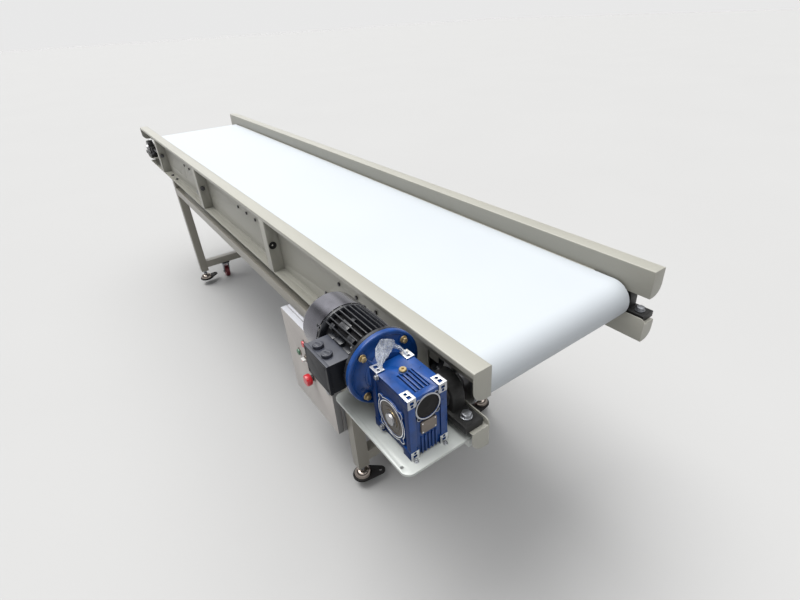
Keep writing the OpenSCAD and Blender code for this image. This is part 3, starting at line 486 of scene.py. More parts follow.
def finish_node(node, bevel, material=None, segments=2, folds=()):
    """A copy of a CAD node with its flat faces joined and its edges rounded, in place of the node.

    folds lists (y, z) of long edges along X that are bent sheet, so they get a wider round.
    """
    source = frame["nodes"][node]
    bm = bmesh.new()
    bm.from_mesh(source.data)
    bmesh.ops.remove_doubles(bm, verts=bm.verts[:], dist=2e-6)
    bmesh.ops.dissolve_limit(bm, angle_limit=radians(0.6), verts=bm.verts[:], edges=bm.edges[:])
    for face in bm.faces:
        face.material_index = 0
    bent = [edge for edge in bm.edges if edge.calc_length() > FOLD_LEAST_LENGTH and any(
        all(abs(vert.co.y - y) < FOLD_REACH and abs(vert.co.z - z) < FOLD_REACH for vert in edge.verts)
        for y, z in folds)]
    if bent:
        bmesh.ops.bevel(bm, geom=bent, offset=FOLD_ROUND, segments=4, profile=0.5, affect="EDGES",
                        clamp_overlap=True)
    slot = NODE_SLOT[node]
    material = material or SLOT_MATERIAL.get(slot, slot)
    return piece(node + "_finish", bm, material, NODE_BODY[node], (node,), bevel, segments)


def paint_light_by_facing(obj, axis, material):
    """Gives the faces that look along axis their own material: a lighter or darker copy that paints light or shade
    on them.
    """
    obj.data.materials.append(M[material])
    slot = len(obj.data.materials) - 1
    for polygon in obj.data.polygons:
        if polygon.material_index == 0 and polygon.normal.dot(axis) > 0.9:
            polygon.material_index = slot


def middle(node):
    low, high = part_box(node)
    return (low + high) / 2


# ---- Frame, bed and stand ----

NODE_ROUNDS = {
    "rail_stiffeners": 1.0, "slider_bed": 0.5, "bed_cross_tubes": 0.8, "return_roller_shafts": 0.5,
    "bearing_bolts": 0.7, "caster_plates": 0.8, "return_roller_a": 0.8, "return_roller_b": 0.8,
    "head_drum": 1.0, "tail_roller": 1.0,
}
# Stiffener holes: x of the plugged one and of the cable hole, distance from the middle plane, height
PLUG_X = -0.290
CABLE_HOLE_X = 0.532
STIFFENER_HOLE_Y = 0.285
STIFFENER_HOLE_Z = -0.050


def make_frame():
    for node, side in (("side_rail_near", -1), ("side_rail_far", 1)):
        low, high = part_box(node)
        outer, inner = (low.y, high.y) if side < 0 else (high.y, low.y)
        finish_node(node, 0.9, folds=((outer, high.z), (outer, low.z), (inner, high.z), (inner, low.z)))
    for node, bevel in NODE_ROUNDS.items():
        finish_node(node, bevel)
    # Painted shade: bolts and screws in recesses get the darker zinc.
    finish_node("frame_bolts", 0.5, "zinc_painted_shade")
    finish_node("takeup_screws", 0.7, "zinc_painted_shade")
    # Painted shade: the legs and rails get the darker stand paint.
    finish_node("stand_legs", 2.2, "stand_painted_shade", 4)
    finish_node("stand_rails", 2.6, "stand_painted_shade", 4)
    finish_node("motor_plate", 0.8, "plate_paint")
    for side, label in SIDES:
        # Rubber plug and grommet in the stiffener holes; filling the holes with dark rubber also paints the shade
        # inside them.
        y, z = side * STIFFENER_HOLE_Y, STIFFENER_HOLE_Z
        turned("stiffener_plug_" + label,
               [(-2.4, 0), (-2.4, 9), (-1.4, 9.6), (-0.2, 9), (-0.2, 6.3), (3, 6.3), (3, 9), (4.4, 9), (5, 8),
                (5, 0)], facing(X_AXIS, (PLUG_X, y, z)), 40, "rubber", "frame")
        turned("cable_grommet_" + label,
               [(-2, 9.9), (-2, 12), (-1.2, 12.8), (-0.1, 12.6), (-0.1, 9.9), (3.1, 9.9), (3.1, 12.6), (4.2, 12.8),
                (5, 12), (5, 9.4), (2, 8.6), (1.6, 2.6), (0.8, 2.6), (0.8, 8.6)],
               facing(X_AXIS, (CABLE_HOLE_X, y, z)), 48, "rubber", "frame", closed=True)


def make_belt():
    """The belt as one smooth endless band over the drum and the tail roller."""
    low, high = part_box("conveyor_belt")
    outer = (high.z - low.z) / 2
    inner = outer - 1.95 * MM  # a hair thinner than the CAD belt, so that it clears the drum
    edge = 0.5 * MM
    half_turn_steps = 48
    straight_steps = 12
    tail = Vector((low.x + outer, 0, (low.z + high.z) / 2))
    head = Vector((high.x - outer, 0, tail.z))
    path = []
    for centre, other, start in ((head, tail, 90), (tail, head, -90)):
        for step in range(half_turn_steps + 1):
            angle = radians(start - 180 * step / half_turn_steps)
            out = Vector((cos(angle), 0, sin(angle)))
            path.append((centre, out))
        path += [(centre.lerp(other, step / straight_steps), out) for step in range(1, straight_steps)]
    section = [(outer, low.y + edge), (outer - edge, low.y), (inner + edge, low.y), (inner, low.y + edge),
               (inner, high.y - edge), (inner + edge, high.y), (outer - edge, high.y), (outer, high.y - edge)]
    bm = bmesh.new()
    rings = [[bm.verts.new(centre + out * r + Y_AXIS * y) for r, y in section] for centre, out in path]
    for ring, after in zip(rings, rings[1:] + rings[:1]):
        bridge(bm, ring, after)
    piece("belt_band", bm, "belt", "frame", ("conveyor_belt",))


FOOT_INSET_X = 70 * MM  # the CAD legs are wider than their tubes, by the plates on top
FOOT_INSET_Y = 20 * MM
THREAD_PITCH = 1.75
THREAD_TURNS = 58
FOOT_DISC_RADIUS = 35
FOOT_LUG_RADIUS = 17
LUG_HOLE_RADIUS = 5.5
FOOT_LUG_OFFSET = (25, -55)  # from the spindle to the anchor hole, before mirroring to each corner


def make_foot(letter):
    """Levelling foot: chrome dome, threaded spindle with two nuts, and a rubber base with its anchor lug."""
    node = "levelling_foot_" + letter
    body = "foot_" + letter
    low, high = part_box(node)
    stand_low, stand_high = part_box("stand_legs")
    sx, sy = CORNERS[letter]
    x = (stand_low.x + FOOT_INSET_X) if sx < 0 else (stand_high.x - FOOT_INSET_X)
    y = (stand_low.y + FOOT_INSET_Y) if sy < 0 else (stand_high.y - FOOT_INSET_Y)
    base = facing(Z_AXIS, (x, y, low.z))
    dome = [(7.5, 0), (7.5, 30.5), (9.5, 30.5)] + arc((9.5, 8.5), 21, 78, 22, 8)
    dome += [(30, 12.5), (31.5, 12.0), (32, 11), (32, 0)]
    turned(f"foot_dome_{letter}", dome, base, 64, "chrome", body, (node,))
    bm = bmesh.new()
    hex_head(bm, 18, 9, base @ lift(32))
    hex_head(bm, 18, 8, base @ lift(46))
    stem_top = (high.z - low.z) / MM
    thread = [(40, 0), (40, 5.6)]
    for turn in range(THREAD_TURNS):
        z = 41 + turn * THREAD_PITCH
        thread += [(z, 5.3), (z + THREAD_PITCH / 2, 6.0)]
    thread += [(stem_top, 5.4), (stem_top, 0)]
    lathe(bm, thread, base, 24)
    piece(f"foot_stem_{letter}", bm, "zinc", body)
    lug = Vector((FOOT_LUG_OFFSET[0] * sx, FOOT_LUG_OFFSET[1] * sy))
    tangent = degrees(acos((FOOT_DISC_RADIUS - FOOT_LUG_RADIUS) / lug.length))
    outline = arc((0, 0), FOOT_DISC_RADIUS, tangent, 360 - tangent, 48)
    outline += arc((lug.length, 0), FOOT_LUG_RADIUS, -tangent, tangent, 20)
    hole = [(lug.length + LUG_HOLE_RADIUS * cos(k * pi / 12), LUG_HOLE_RADIUS * sin(k * pi / 12))
            for k in range(24)]
    bm = bmesh.new()
    plate_with_hole(bm, outline, hole, 0, 6, base @ spin(atan2(lug.y, lug.x)))
    lathe(bm, [(5.5, 0), (5.5, 33.5), (6.6, 34.6), (8.5, 34), (8.5, 0)], base, 64)
    piece(f"foot_rubber_{letter}", bm, "rubber", body, bevel=0.8)


def plate_with_hole(bm, outline, hole, low, high, matrix):
    """Flat plate with one hole, extruded from low to high in millimetres."""
    loops = {}
    for height in (low, high):
        loops[height] = [flat_ring(bm, points, height, matrix) for points in (outline, hole)]
        edges = []
        for loop in loops[height]:
            edges += [bm.edges.new((loop[k], loop[(k + 1) % len(loop)])) for k in range(len(loop))]
        bmesh.ops.triangle_fill(bm, use_beauty=True, use_dissolve=True, edges=edges)
    for bottom, top in zip(loops[low], loops[high]):
        bridge(bm, bottom, top)


def make_caster(letter):
    """Swivel caster: the CAD fork with finer edges, a red tread and core, and the axle's nuts."""
    finish_node("caster_fork_" + letter, 0.8)
    node = "caster_wheel_" + letter
    low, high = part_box(node)
    centre = middle(node)
    r = (high.z - low.z) / 2 / MM
    body = "wheel_" + letter
    hub = facing(Y_AXIS, centre)
    tread = [(8, r - 9), (11.6, r - 8)] + arc((8.4, r - 3.4), 3.4, -20, 90, 5)
    turned("caster_tread_" + letter, mirrored(tread), hub, 72, "wheel_red", body, (node,),
           closed=True)
    core = [(12.8, 4.1), (12.8, 8), (12, 9.5), (9.5, 10.5), (4, 12.5), (3.4, 20), (4, r - 12), (8.6, r - 9.6),
            (8.6, r - 8.6)]
    turned("caster_core_" + letter, mirrored(core), hub, 72, "wheel_red", body, closed=True)
    bm = bmesh.new()
    for side in (-1, 1):
        hex_head(bm, 12, 3.8, facing(Y_AXIS * side, centre + Y_AXIS * side * 17 * MM))
    piece("caster_axle_nuts_" + letter, bm, "zinc", "fork_" + letter)


# ---- Bearings ----

BEARING_FROM_BLOCK_END = 22 * MM  # the CAD blocks' far face to the middle of the bearing
BEARING_HALF_WIDTH = 15 * MM


def make_bearing(name, x, side, body):
    """Details of a cast housing: a ring around the insert on each face, and the grease nipple."""
    shaft_z = middle("drum_shaft").z
    y = side * (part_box("pillow_blocks")[1].y - BEARING_FROM_BLOCK_END)
    for face, label in ((-1, "in"), (1, "out")):
        turned(f"{name}_insert_ring_{label}", [(-1, 26), (0.6, 26), (1.0, 29), (0.4, 31), (-1, 31)],
               facing(Y_AXIS * face, (x, y + face * BEARING_HALF_WIDTH, shaft_z)), 64, "steel", body,
               closed=True)
    turned(name + "_nipple",
           [(0, 0), (0, 3.2), (2, 3.2), (2.4, 2.0), (4, 1.8), (4.8, 2.3), (5.6, 2.3), (6.2, 1.2), (6.2, 0)],
           facing(Vector((-0.5, 0, 0.86)), (x - 20 * MM, y, shaft_z + 35 * MM)), 20, "zinc", body)


SHAFT_RING_LEAST_RADIUS = 18 * MM
SHAFT_RING_EASE = 0.15 * MM


def ease_rings(obj, node):
    """Draws a shaft's bearing rings in by a hair, so that their facets clear the housings at every turn."""
    axis = middle(node)
    for vertex in obj.data.vertices:
        out = Vector((vertex.co.x - axis.x, 0, vertex.co.z - axis.z))
        if out.length > SHAFT_RING_LEAST_RADIUS:
            vertex.co -= out.normalized() * SHAFT_RING_EASE


def make_bearings():
    finish_node("pillow_blocks", 2.6, segments=4)
    finish_node("takeup_blocks", 2.6, segments=4)
    ease_rings(finish_node("tail_shaft", 0.8), "tail_shaft")
    head_x = middle("head_drum").x
    tail_x = middle("tail_roller").x
    for side, label in SIDES:
        make_bearing(f"head_bearing_{label}", head_x, side, "frame")
        make_bearing(f"tail_bearing_{label}", tail_x, side, "takeup")


# ---- Gearbox ----

# Material slots of the housing's mesh; the second and third hold darker copies of machined metal that paint shade
BRIGHT, SHADED_SIDE_RING, SHADED_METAL = 1, 2, 3
FACES_ALONG = 0.98  # least part of a face's normal that lies along an axis

FLANGE_BOLT_CIRCLE_RADIUS = 65
WORM_SCREW_CIRCLE_RADIUS = 28.6
BEARING_SEAT_RADII = (34 * MM, 53 * MM)  # the raised ring around each side cover
WORM_RING_RADIUS = 32 * MM
PAD_HEIGHT = 25 * MM  # machined pads at the top corners
FOOT_PAD_HEIGHT = 30 * MM


def make_gearbox():
    low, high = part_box("gearbox_housing")
    housing = finish_node("gearbox_housing", 0.7)
    for material in ("machined", "machined_side_painted_shade", "machined_painted_shade"):
        housing.data.materials.append(M[material])
    mark_machined(housing.data, low, high)
    # Painted shade: the faces that look along ±Y get a darker blue.
    for side in (-1, 1):
        paint_light_by_facing(housing, Y_AXIS * side, "blue_painted_shade")
    make_gearbox_covers(low, high)
    make_worm_cover(high.x)
    make_input_flange()
    make_flange_bolts()
    make_plate_bolts(low, high)
    plug = middle("gearbox_oil_plug")
    plug.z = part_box("gearbox_oil_plug")[1].z - 5 * MM
    turned("oil_plug",
           [(-9, 0), (-9, 4.8), (0, 4.8), (0, 7.6), (3.0, 7.6), (4.2, 6.6), (4.2, 2.6), (1.6, 2.4), (1.6, 0)],
           facing(Z_AXIS, plug), 32, "brass", "frame", ("gearbox_oil_plug",))
    make_nameplate(Vector((high.x, (low.y + high.y) / 2, low.z + 66 * MM)))


def make_nameplate(place):
    """Blank plate with four rivets."""
    at = Matrix.Translation(place) @ ALONG_X
    outline = rounded([(-17, -13), (17, -13), (17, 13), (-17, 13)], 2)
    extruded("gearbox_nameplate", outline, -4, 0.6, at, "nameplate", "frame", bevel=0.2)
    bm = bmesh.new()
    for u in (-14, 14):
        for v in (-10, 10):
            spot = at @ Matrix.Translation((u * MM, v * MM, 0))
            lathe(bm, [(0.5, 0), (0.5, 1.5), (1.1, 1.0), (1.3, 0)], spot, 12)
    piece("nameplate_rivets", bm, "machined", "frame")


def mark_machined(mesh, low, high):
    """Bright metal on the top and foot pads, a darker copy as painted shade on the end rings and upper pads, and a
    dark copy as painted shade and dark reflection on the side rings.
    """
    flush = 0.3 * MM
    side_flush = 1.4 * MM
    pad_z = high.z - PAD_HEIGHT
    bm = bmesh.new()
    bm.from_mesh(mesh)
    ends = [face for face in bm.faces if abs(face.normal.x) > FACES_ALONG]
    around = set(ends)
    for face in ends:
        around.update(face.edges)
        around.update(face.verts)
    bmesh.ops.bisect_plane(bm, geom=list(around), plane_co=(0, 0, pad_z), plane_no=(0, 0, 1))
    bm.to_mesh(mesh)
    bm.free()
    axis = middle("head_drum")
    worm = middle("worm_end_cap")
    for polygon in mesh.polygons:
        centre = polygon.center
        normal = polygon.normal
        if normal.z > FACES_ALONG and high.z - centre.z < flush:
            polygon.material_index = BRIGHT
        if abs(normal.x) > FACES_ALONG and min(centre.x - low.x, high.x - centre.x) < flush:
            from_worm = hypot(centre.y - worm.y, centre.z - worm.z)
            if from_worm < WORM_RING_RADIUS or centre.z > pad_z:
                polygon.material_index = SHADED_METAL
            elif centre.z < low.z + FOOT_PAD_HEIGHT:
                polygon.material_index = BRIGHT
        if abs(normal.y) > FACES_ALONG and min(centre.y - low.y, high.y - centre.y) < side_flush:
            from_shaft = hypot(centre.x - axis.x, centre.z - axis.z)
            if BEARING_SEAT_RADII[0] < from_shaft < BEARING_SEAT_RADII[1]:
                polygon.material_index = SHADED_SIDE_RING


def lobed_radius(angle, r, lobe):
    """Outline of a round boss with four small lobes on its edge."""
    best = r
    for diagonal in DIAGONALS:
        across = r * sin(angle - diagonal)
        if cos(angle - diagonal) > 0 and abs(across) < lobe:
            best = max(best, r * cos(angle - diagonal) + sqrt(lobe * lobe - across * across))
    return best


def outline_ribbon(bm, radius_at, width, low, high, matrix, steps=180):
    """Thin raised band along a closed outline."""
    angles = [2 * pi * k / steps for k in range(steps)]
    rings = []
    for inset, height in ((0, low), (0, high), (width, high), (width, low)):
        points = [((radius_at(angle) - inset) * cos(angle), (radius_at(angle) - inset) * sin(angle))
                  for angle in angles]
        rings.append(flat_ring(bm, points, height, matrix))
    for ring, after in zip(rings, rings[1:] + rings[:1]):
        bridge(bm, ring, after)


def make_gearbox_covers(low, high):
    """Round covers and machined edges around the drum's shaft on both sides, and the shaft's end."""
    axis = middle("head_drum")
    for (side, label), edge in zip(SIDES, (low.y, high.y)):
        at = facing(Y_AXIS * side, (axis.x, edge, axis.z))
        turned("gearbox_cover_" + label,
               [(-8, 19.2), (-8, 35.9), (-2.2, 35.9), (-1.6, 35.2), (-1.6, 32), (-2.6, 31), (-2.6, 26),
                (-1.4, 25), (-1.4, 19.2)], at, 72, "cover_bronze", "frame",
               ("gearbox_side_covers",) if side < 0 else (), closed=True)
        bm = bmesh.new()
        outline_ribbon(bm, lambda angle: lobed_radius(angle, 42.9, 8), 1.3, -1.6, -0.7, at)
        outline_ribbon(bm, lambda angle: 37.9, 1.8, -1.6, -0.6, at)
        piece("gearbox_cover_edges_" + label, bm, "machined", "frame", angle=50)
    at = facing(-Y_AXIS, (axis.x, low.y, axis.z))
    ease_rings(finish_node("drum_shaft", 1.0), "drum_shaft")
    turned("drum_shaft_cap", [(-1, 0), (-1, 12.4), (0.6, 12.4)] + arc((-9.4, 0), 14.9, 42, 0, 8), at, 48, "steel",
           "drum")
    turned("hollow_shaft_ring", [(-1.2, 12.8), (-1.2, 18.8), (-0.4, 18.8), (0.2, 18.2), (0.2, 12.8)], at, 48,
           "cover_bronze", "drum", closed=True)


def make_worm_cover(end_x):
    """Rubber cap over the worm's end, with the machined edge of its lobed flange in a darker copy as painted
    shade, and four screw holes shown as dark discs that paint the shade inside them.
    """
    low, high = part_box("worm_end_cap")
    cap = middle("worm_end_cap")
    r = (high.z - low.z) / 2 / MM
    at = facing(X_AXIS, (end_x, cap.y, cap.z))
    turned("worm_cap", [(-7, 0), (-7, r), (-1.6, r), (-1.0, r - 0.6), (-1.0, r - 2), (-2.2, r - 3.2), (-2.2, 5),
                        (-1.6, 4), (-1.6, 0)], at, 72, "rubber", "frame", ("worm_end_cap",))
    bm = bmesh.new()
    outline_ribbon(bm, lambda angle: lobed_radius(angle, 27.2, 5.2), 1.1, -4, -0.1, at)
    piece("worm_flange_edge", bm, "machined_painted_shade", "frame", angle=50)
    # Painted shade: dark discs just under the face stand for the shade inside the screw holes.
    bm = bmesh.new()
    for angle in DIAGONALS:
        spot = polar(angle, WORM_SCREW_CIRCLE_RADIUS)
        lathe(bm, [(-5, 0), (-5, 2.4), (-0.6, 2.4), (-0.6, 0)], at @ spot, 24)
    piece("worm_flange_hole_shade", bm, "rubber", "frame")


def make_flange_bolts():
    """Hexagon flange bolts through the input flange."""
    low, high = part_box("gearbox_bolts")
    face_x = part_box("gearbox_input_flange")[0].x + 12 * MM
    centre = (low + high) / 2
    reach = (high.y - low.y) / 2 - 8 * MM
    bm = bmesh.new()
    for sy in (-1, 1):
        for sz in (-1, 1):
            at = facing(X_AXIS, (face_x, centre.y + sy * reach, centre.z + sz * reach))
            lathe(bm, [(-11, 0), (-11, 4), (0, 4), (0, 8), (1.0, 8), (1.8, 7.2), (1.8, 0)], at, 36)
            hex_head(bm, 11, 6.6, at @ lift(1.6) @ spin(0.4))
    piece("flange_bolts", bm, "gold_zinc", "frame", ("gearbox_bolts",), bevel=0.25)


def make_plate_bolts(low, high):
    """Studs with nuts that hold the gearbox down in front of its lower pads, and two screws on its near side."""
    plate_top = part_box("motor_plate")[1].z
    bm = bmesh.new()
    for y in (low.y + 7 * MM, high.y - 10 * MM):
        at = facing(Z_AXIS, (high.x + 5 * MM, y, plate_top))
        washer(bm, 4.6, 2.0, 1.0, at)
        hex_head(bm, 7, 3.0, at @ lift(0.9))
        lathe(bm, [(3.6, 0), (3.6, 2.0), (6.4, 2.0), (7.0, 1.5), (7.0, 0)], at, 20)
    piece("plate_studs", bm, "zinc", "frame", bevel=0.2)
    bm = bmesh.new()
    for z in (high.z - 7 * MM, low.z + 14 * MM):
        at = facing(-Y_AXIS, (low.x + 26 * MM, low.y, z))
        lathe(bm, [(-8, 0), (-8, 3), (-0.6, 3), (-0.6, 5.8), (0.6, 5.8), (1.0, 5.2), (1.0, 0)], at, 28)
        hex_head(bm, 8, 4.4, at @ lift(0.8))
    piece("gearbox_side_screws", bm, "zinc", "frame", bevel=0.25)


def make_input_flange():
    """Round flange between motor and gearbox, with four gussets behind it and a spot face at each bolt."""
    low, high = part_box("gearbox_input_flange")
    centre = middle("gearbox_input_flange")
    at = facing(X_AXIS, (low.x, centre.y, centre.z))
    r = (high.z - low.z) / 2 / MM
    depth = (high.x - low.x) / MM
    profile = [(0, 20), (0, r - 1.5), (1.2, r), (8, r)]
    profile += arc((8.5, r - 3.5), 3.5, 90, 0, 5)
    profile += [(12, r - 8), (10.4, r - 9.5), (10.4, 56), (12, 53), (17, 48)]
    profile += arc((23, 52), 8, 220, 260, 4)
    profile += [(depth, 42), (depth, 20)]
    turned("input_flange", profile, at, 96, "blue_cast", "frame", ("gearbox_input_flange",),
           closed=True)
    bm = bmesh.new()
    for angle in DIAGONALS:
        prism(bm, [(44, 9), (55, 9), (52, 14), (46, 22), (44, 26)], -2.5, 2.5,
              at @ spin(angle) @ STANDING)
    piece("input_flange_gussets", bm, "blue_cast", "frame", bevel=0.8)
    bm = bmesh.new()
    for angle in DIAGONALS:
        spot = polar(angle, FLANGE_BOLT_CIRCLE_RADIUS)
        lathe(bm, [(10, 0), (10, 10.5), (11.8, 10.5), (12, 10), (12, 0)], at @ spot, 32)
    piece("input_flange_spot_faces", bm, "blue_cast", "frame")


# ---- Motor ----

FIN_STEP = 10  # degrees
FIN_ROOT = 54
FIN_REACH = 69.5
FIN_HALF_THICKNESS = 1.3
TERMINAL_BOX_SIDE = -0.75  # no fins where their direction's y is below this
SHIELD_BOLT_CIRCLE_RADIUS = 60

# Cast pads between the fins: x from, x to, direction in degrees, radius, half width
MOTOR_PADS = ((44, 74, 114, 65.5, 9), (24, 36, 130, 65.0, 6), (88, 110, 126, 64.5, 7), (50, 60, 95, 63.0, 7))
# Steps above the terminal box: x from, x to, top
MOTOR_STEPS = ((30, 52, 36), (58, 84, 40), (90, 116, 36))


def around_x(turn):
    """Direction at turn degrees around the motor's axis, counted from Y towards Z."""
    return Vector((0, cos(radians(turn)), sin(radians(turn))))


def radial_plane(origin, out):
    """Matrix for an outline of (x, distance from the axis) that stands in direction out."""
    return Matrix.Translation(origin) @ Matrix((X_AXIS, out, X_AXIS.cross(out))).transposed().to_4x4()


def make_motor():
    low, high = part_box("motor_housing")
    axis = middle("motor_fan_cowl")
    origin = Vector((low.x, axis.y, axis.z))
    length = (high.x - low.x) / MM
    at = facing(X_AXIS, origin)
    # Painted shade: the core between the fins is darker than the fins.
    turned("motor_core", [(10, 50), (10, 55.5), (length - 12, 55.5), (length - 12, 50)], at, 96, "motor_gap_painted_shade",
           "frame", ("motor_housing",), closed=True)
    bm = bmesh.new()
    lathe(bm, [(0, 54), (0, 66), (3, 68), (9, 68), (11, 62), (12, 54)], at, 96, closed=True)
    lathe(bm, [(length - 14, 54), (length - 12, 62), (length - 9, 67), (length - 2, 67), (length, 64),
               (length, 54)], at, 96, closed=True)
    fin = [(8, FIN_ROOT), (8, FIN_REACH - 5), (11, FIN_REACH), (length - 14, FIN_REACH),
           (length - 10, FIN_REACH - 5), (length - 10, FIN_ROOT)]
    for turn in range(0, 360, FIN_STEP):
        out = around_x(turn)
        if out.y >= TERMINAL_BOX_SIDE:
            prism(bm, fin, -FIN_HALF_THICKNESS, FIN_HALF_THICKNESS, radial_plane(origin, out))
    add_motor_bosses(bm, origin)
    piece("motor_fins", bm, "motor_black", "frame", bevel=0.5)
    make_motor_ends(at, length)
    make_fan_cowl()
    make_terminal_box()


def add_motor_bosses(bm, origin):
    """Cast pads between the fins and the stepped shelf above the terminal box."""
    for x0, x1, turn, reach, width in MOTOR_PADS:
        prism(bm, [(x0, FIN_ROOT), (x1, FIN_ROOT), (x1, reach), (x0, reach)], -width, width,
              radial_plane(origin, around_x(turn)))
    for x0, x1, top in MOTOR_STEPS:
        prism(bm, [(x0, -54), (x1, -54), (x1, -30), (x0, -30)], 6, top, Matrix.Translation(origin))


def make_motor_ends(at, length):
    """End shields with their screw bosses, and the screws' heads."""
    shield_low, shield_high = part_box("motor_shields")
    flange_end = (shield_high.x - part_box("motor_housing")[0].x) / MM
    r = (shield_high.z - shield_low.z) / 2 / MM
    spots = [at @ spin(angle) @ Matrix.Translation((SHIELD_BOLT_CIRCLE_RADIUS * MM, 0, 0))
             for angle in DIAGONALS]
    bm = bmesh.new()
    lathe(bm, [(length - 2, 9.1), (length - 2, 58), (length, 66), (length + 0.8, r - 4), (length + 2, r - 1),
               (length + 3, r), (flange_end - 0.8, r), (flange_end, r - 0.8), (flange_end, 9.1)], at, 96,
          closed=True)
    for spot in spots:
        lathe(bm, [(length - 18, 0), (length - 18, 5), (length - 17, 6.5), (length + 1, 8), (length + 1, 0)],
              spot, 24)
    lathe(bm, [(-8, 9.1), (-8, 60), (-6, 62), (0.5, 62), (0.5, 9.1)], at, 72, closed=True)
    piece("motor_end_shields", bm, "motor_black", "frame", ("motor_shields",))
    bm = bmesh.new()
    for spot in spots:
        hex_head(bm, 8, 4, spot @ lift(length - 22.5))
    piece("motor_shield_bolts", bm, "zinc", "frame")


def make_fan_cowl():
    """Sheet cowl with a ringed grille over the fan, and its four screws."""
    low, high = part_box("motor_fan_cowl")
    axis = middle("motor_fan_cowl")
    at = facing(X_AXIS, (low.x, axis.y, axis.z))
    depth = (high.x - low.x) / MM
    r = (high.z - low.z) / 2 / MM
    wall = 1.5
    bend = 9
    rim = r - bend
    ring_pitch = 8.2
    ring_width = 4
    least_radius = 0.5
    outside = arc((bend, rim), bend, 180, 90, 8)
    inside = arc((bend, rim), bend - wall, 90, 180, 8)
    bm = bmesh.new()
    lathe(bm, outside + [(depth - 0.4, r), (depth, r - 0.4), (depth, r - wall)] + inside, at, 96, closed=True)
    for k in range(7):
        outer = rim - 1.6 - k * ring_pitch
        inner = max(outer - ring_width, least_radius)
        lathe(bm, [(0, inner), (0, outer), (wall, outer), (wall, inner)], at, 72, closed=True)
    for turn in range(0, 360, 45):
        prism(bm, [(3, -2.2), (rim + 1, -2.2), (rim + 1, 2.2), (3, 2.2)], 0.1, wall - 0.1,
              at @ spin(radians(turn)))
    piece("fan_cowl", bm, "cowl", "frame", ("motor_fan_cowl",))
    bm = bmesh.new()
    for turn in (35, 145, 215, 325):
        out = around_x(turn)
        spot = Vector((high.x - 7 * MM, axis.y, axis.z)) + out * (r - 0.3) * MM
        lathe(bm, [(0, 0), (0, 4), (0.8, 3.8), (1.8, 2.4), (2.0, 0)], facing(out, spot), 20)
    piece("fan_cowl_screws", bm, "motor_black", "frame")


def make_terminal_box():
    """Box and lid with worn edges and a painted highlight on their tops, the lid's screws, and two round cable
    plugs with gripping flats in the same lighter grey, also a painted highlight.
    """
    # Painted highlight: the faces that look up get a lighter grey.
    for node in ("terminal_box", "terminal_box_lid"):
        paint_light_by_facing(finish_node(node, 2.4, "terminal_grey", 4), Z_AXIS, "terminal_painted_highlight")
    low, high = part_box("terminal_box_lid")
    inset = 8 * MM
    bm = bmesh.new()
    for x in (low.x + inset, high.x - inset):
        for z in (low.z + inset, high.z - inset):
            lathe(bm, [(-2.6, 0), (-2.6, 3.3), (-0.9, 3.3), (-0.3, 2.4), (-0.1, 0)],
                  facing(-Y_AXIS, (x, low.y, z)), 20)
    piece("terminal_lid_screws", bm, "terminal_grey", "frame")
    low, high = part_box("terminal_plugs")
    y = (low.y + high.y) / 2
    half = [(-8.2, 1.1), (8.2, 1.1), (6.4, 6.0), (2.2, 8.0), (-2.2, 8.0), (-6.4, 6.0)]
    bm = bmesh.new()
    for x in (low.x + 10 * MM, high.x - 10 * MM):
        at = facing(Z_AXIS, (x, y, low.z))
        lathe(bm, [(0, 0), (0, 10.4), (1.2, 10.4), (1.2, 11.4), (6.2, 11.4), (7.2, 10.6), (7.2, 0)], at, 40)
        for turn in (25, 205):
            prism(bm, rounded(half, 1, 2), 6.8, 8.0, at @ spin(radians(turn)))
    piece("terminal_plug_bodies", bm, "terminal_painted_highlight", "frame", ("terminal_plugs",), bevel=0.3)


# ---- Bag with the breather ----

def spline(points, t):
    """Smooth curve through a list of points; t counts along them."""
    index = min(int(t), len(points) - 2)
    f = t - index
    p0, p1 = points[max(index - 1, 0)], points[index]
    p2, p3 = points[index + 1], points[min(index + 2, len(points) - 1)]
    return ((p1 * 2) + (p2 - p0) * f + (p0 * 2 - p1 * 5 + p2 * 4 - p3) * f ** 2
            + (p1 * 3 - p0 - p2 * 3 + p3) * f ** 3) * 0.5


def loft_film(bm, left, right, thick, pleats, samples, around):
    """Flattened closed tube of film between two edge curves, with pleats and crumples."""
    rings = []
    last = len(left) - 1
    for step in range(samples + 1):
        t = step / samples * last
        start = spline(left, t)
        across = spline(right, t) - start
        before, after = max(t - 0.05, 0), min(t + 0.05, last)
        along = spline(left, after) + spline(right, after) - spline(left, before) - spline(right, before)
        out = along.cross(across).normalized()
        if out.x < 0:
            out = -out
        depth = (thick[0] + (thick[1] - thick[0]) * sin(pi * min(1, t / last) ** 0.8)) * MM
        ring = []
        for k in range(around):
            angle = 2 * pi * k / around
            u = 0.5 - 0.5 * cos(angle)
            place = start + across * u
            fold = cos(u * pleats * 2 * pi + t * 0.6) * min(1, t) * 1.0 * MM * sin(pi * u)
            crumple = noise.noise(place * 60 + Vector((0, 0, sin(angle)))) * 3.0 * MM * min(1, t * 0.7)
            edge = noise.noise(Vector((t * 1.9, 7 + round(u), 2))) * 1.5 * MM * min(1, t)
            ring.append(bm.verts.new(place + out * (depth * sin(angle) + fold + crumple)
                                     + across.normalized() * edge))
        rings.append(ring)
    for ring, after in zip(rings, rings[1:]):
        bridge(bm, ring, after)
    bm.faces.new(list(reversed(rings[0])))
    bm.faces.new(rings[-1])


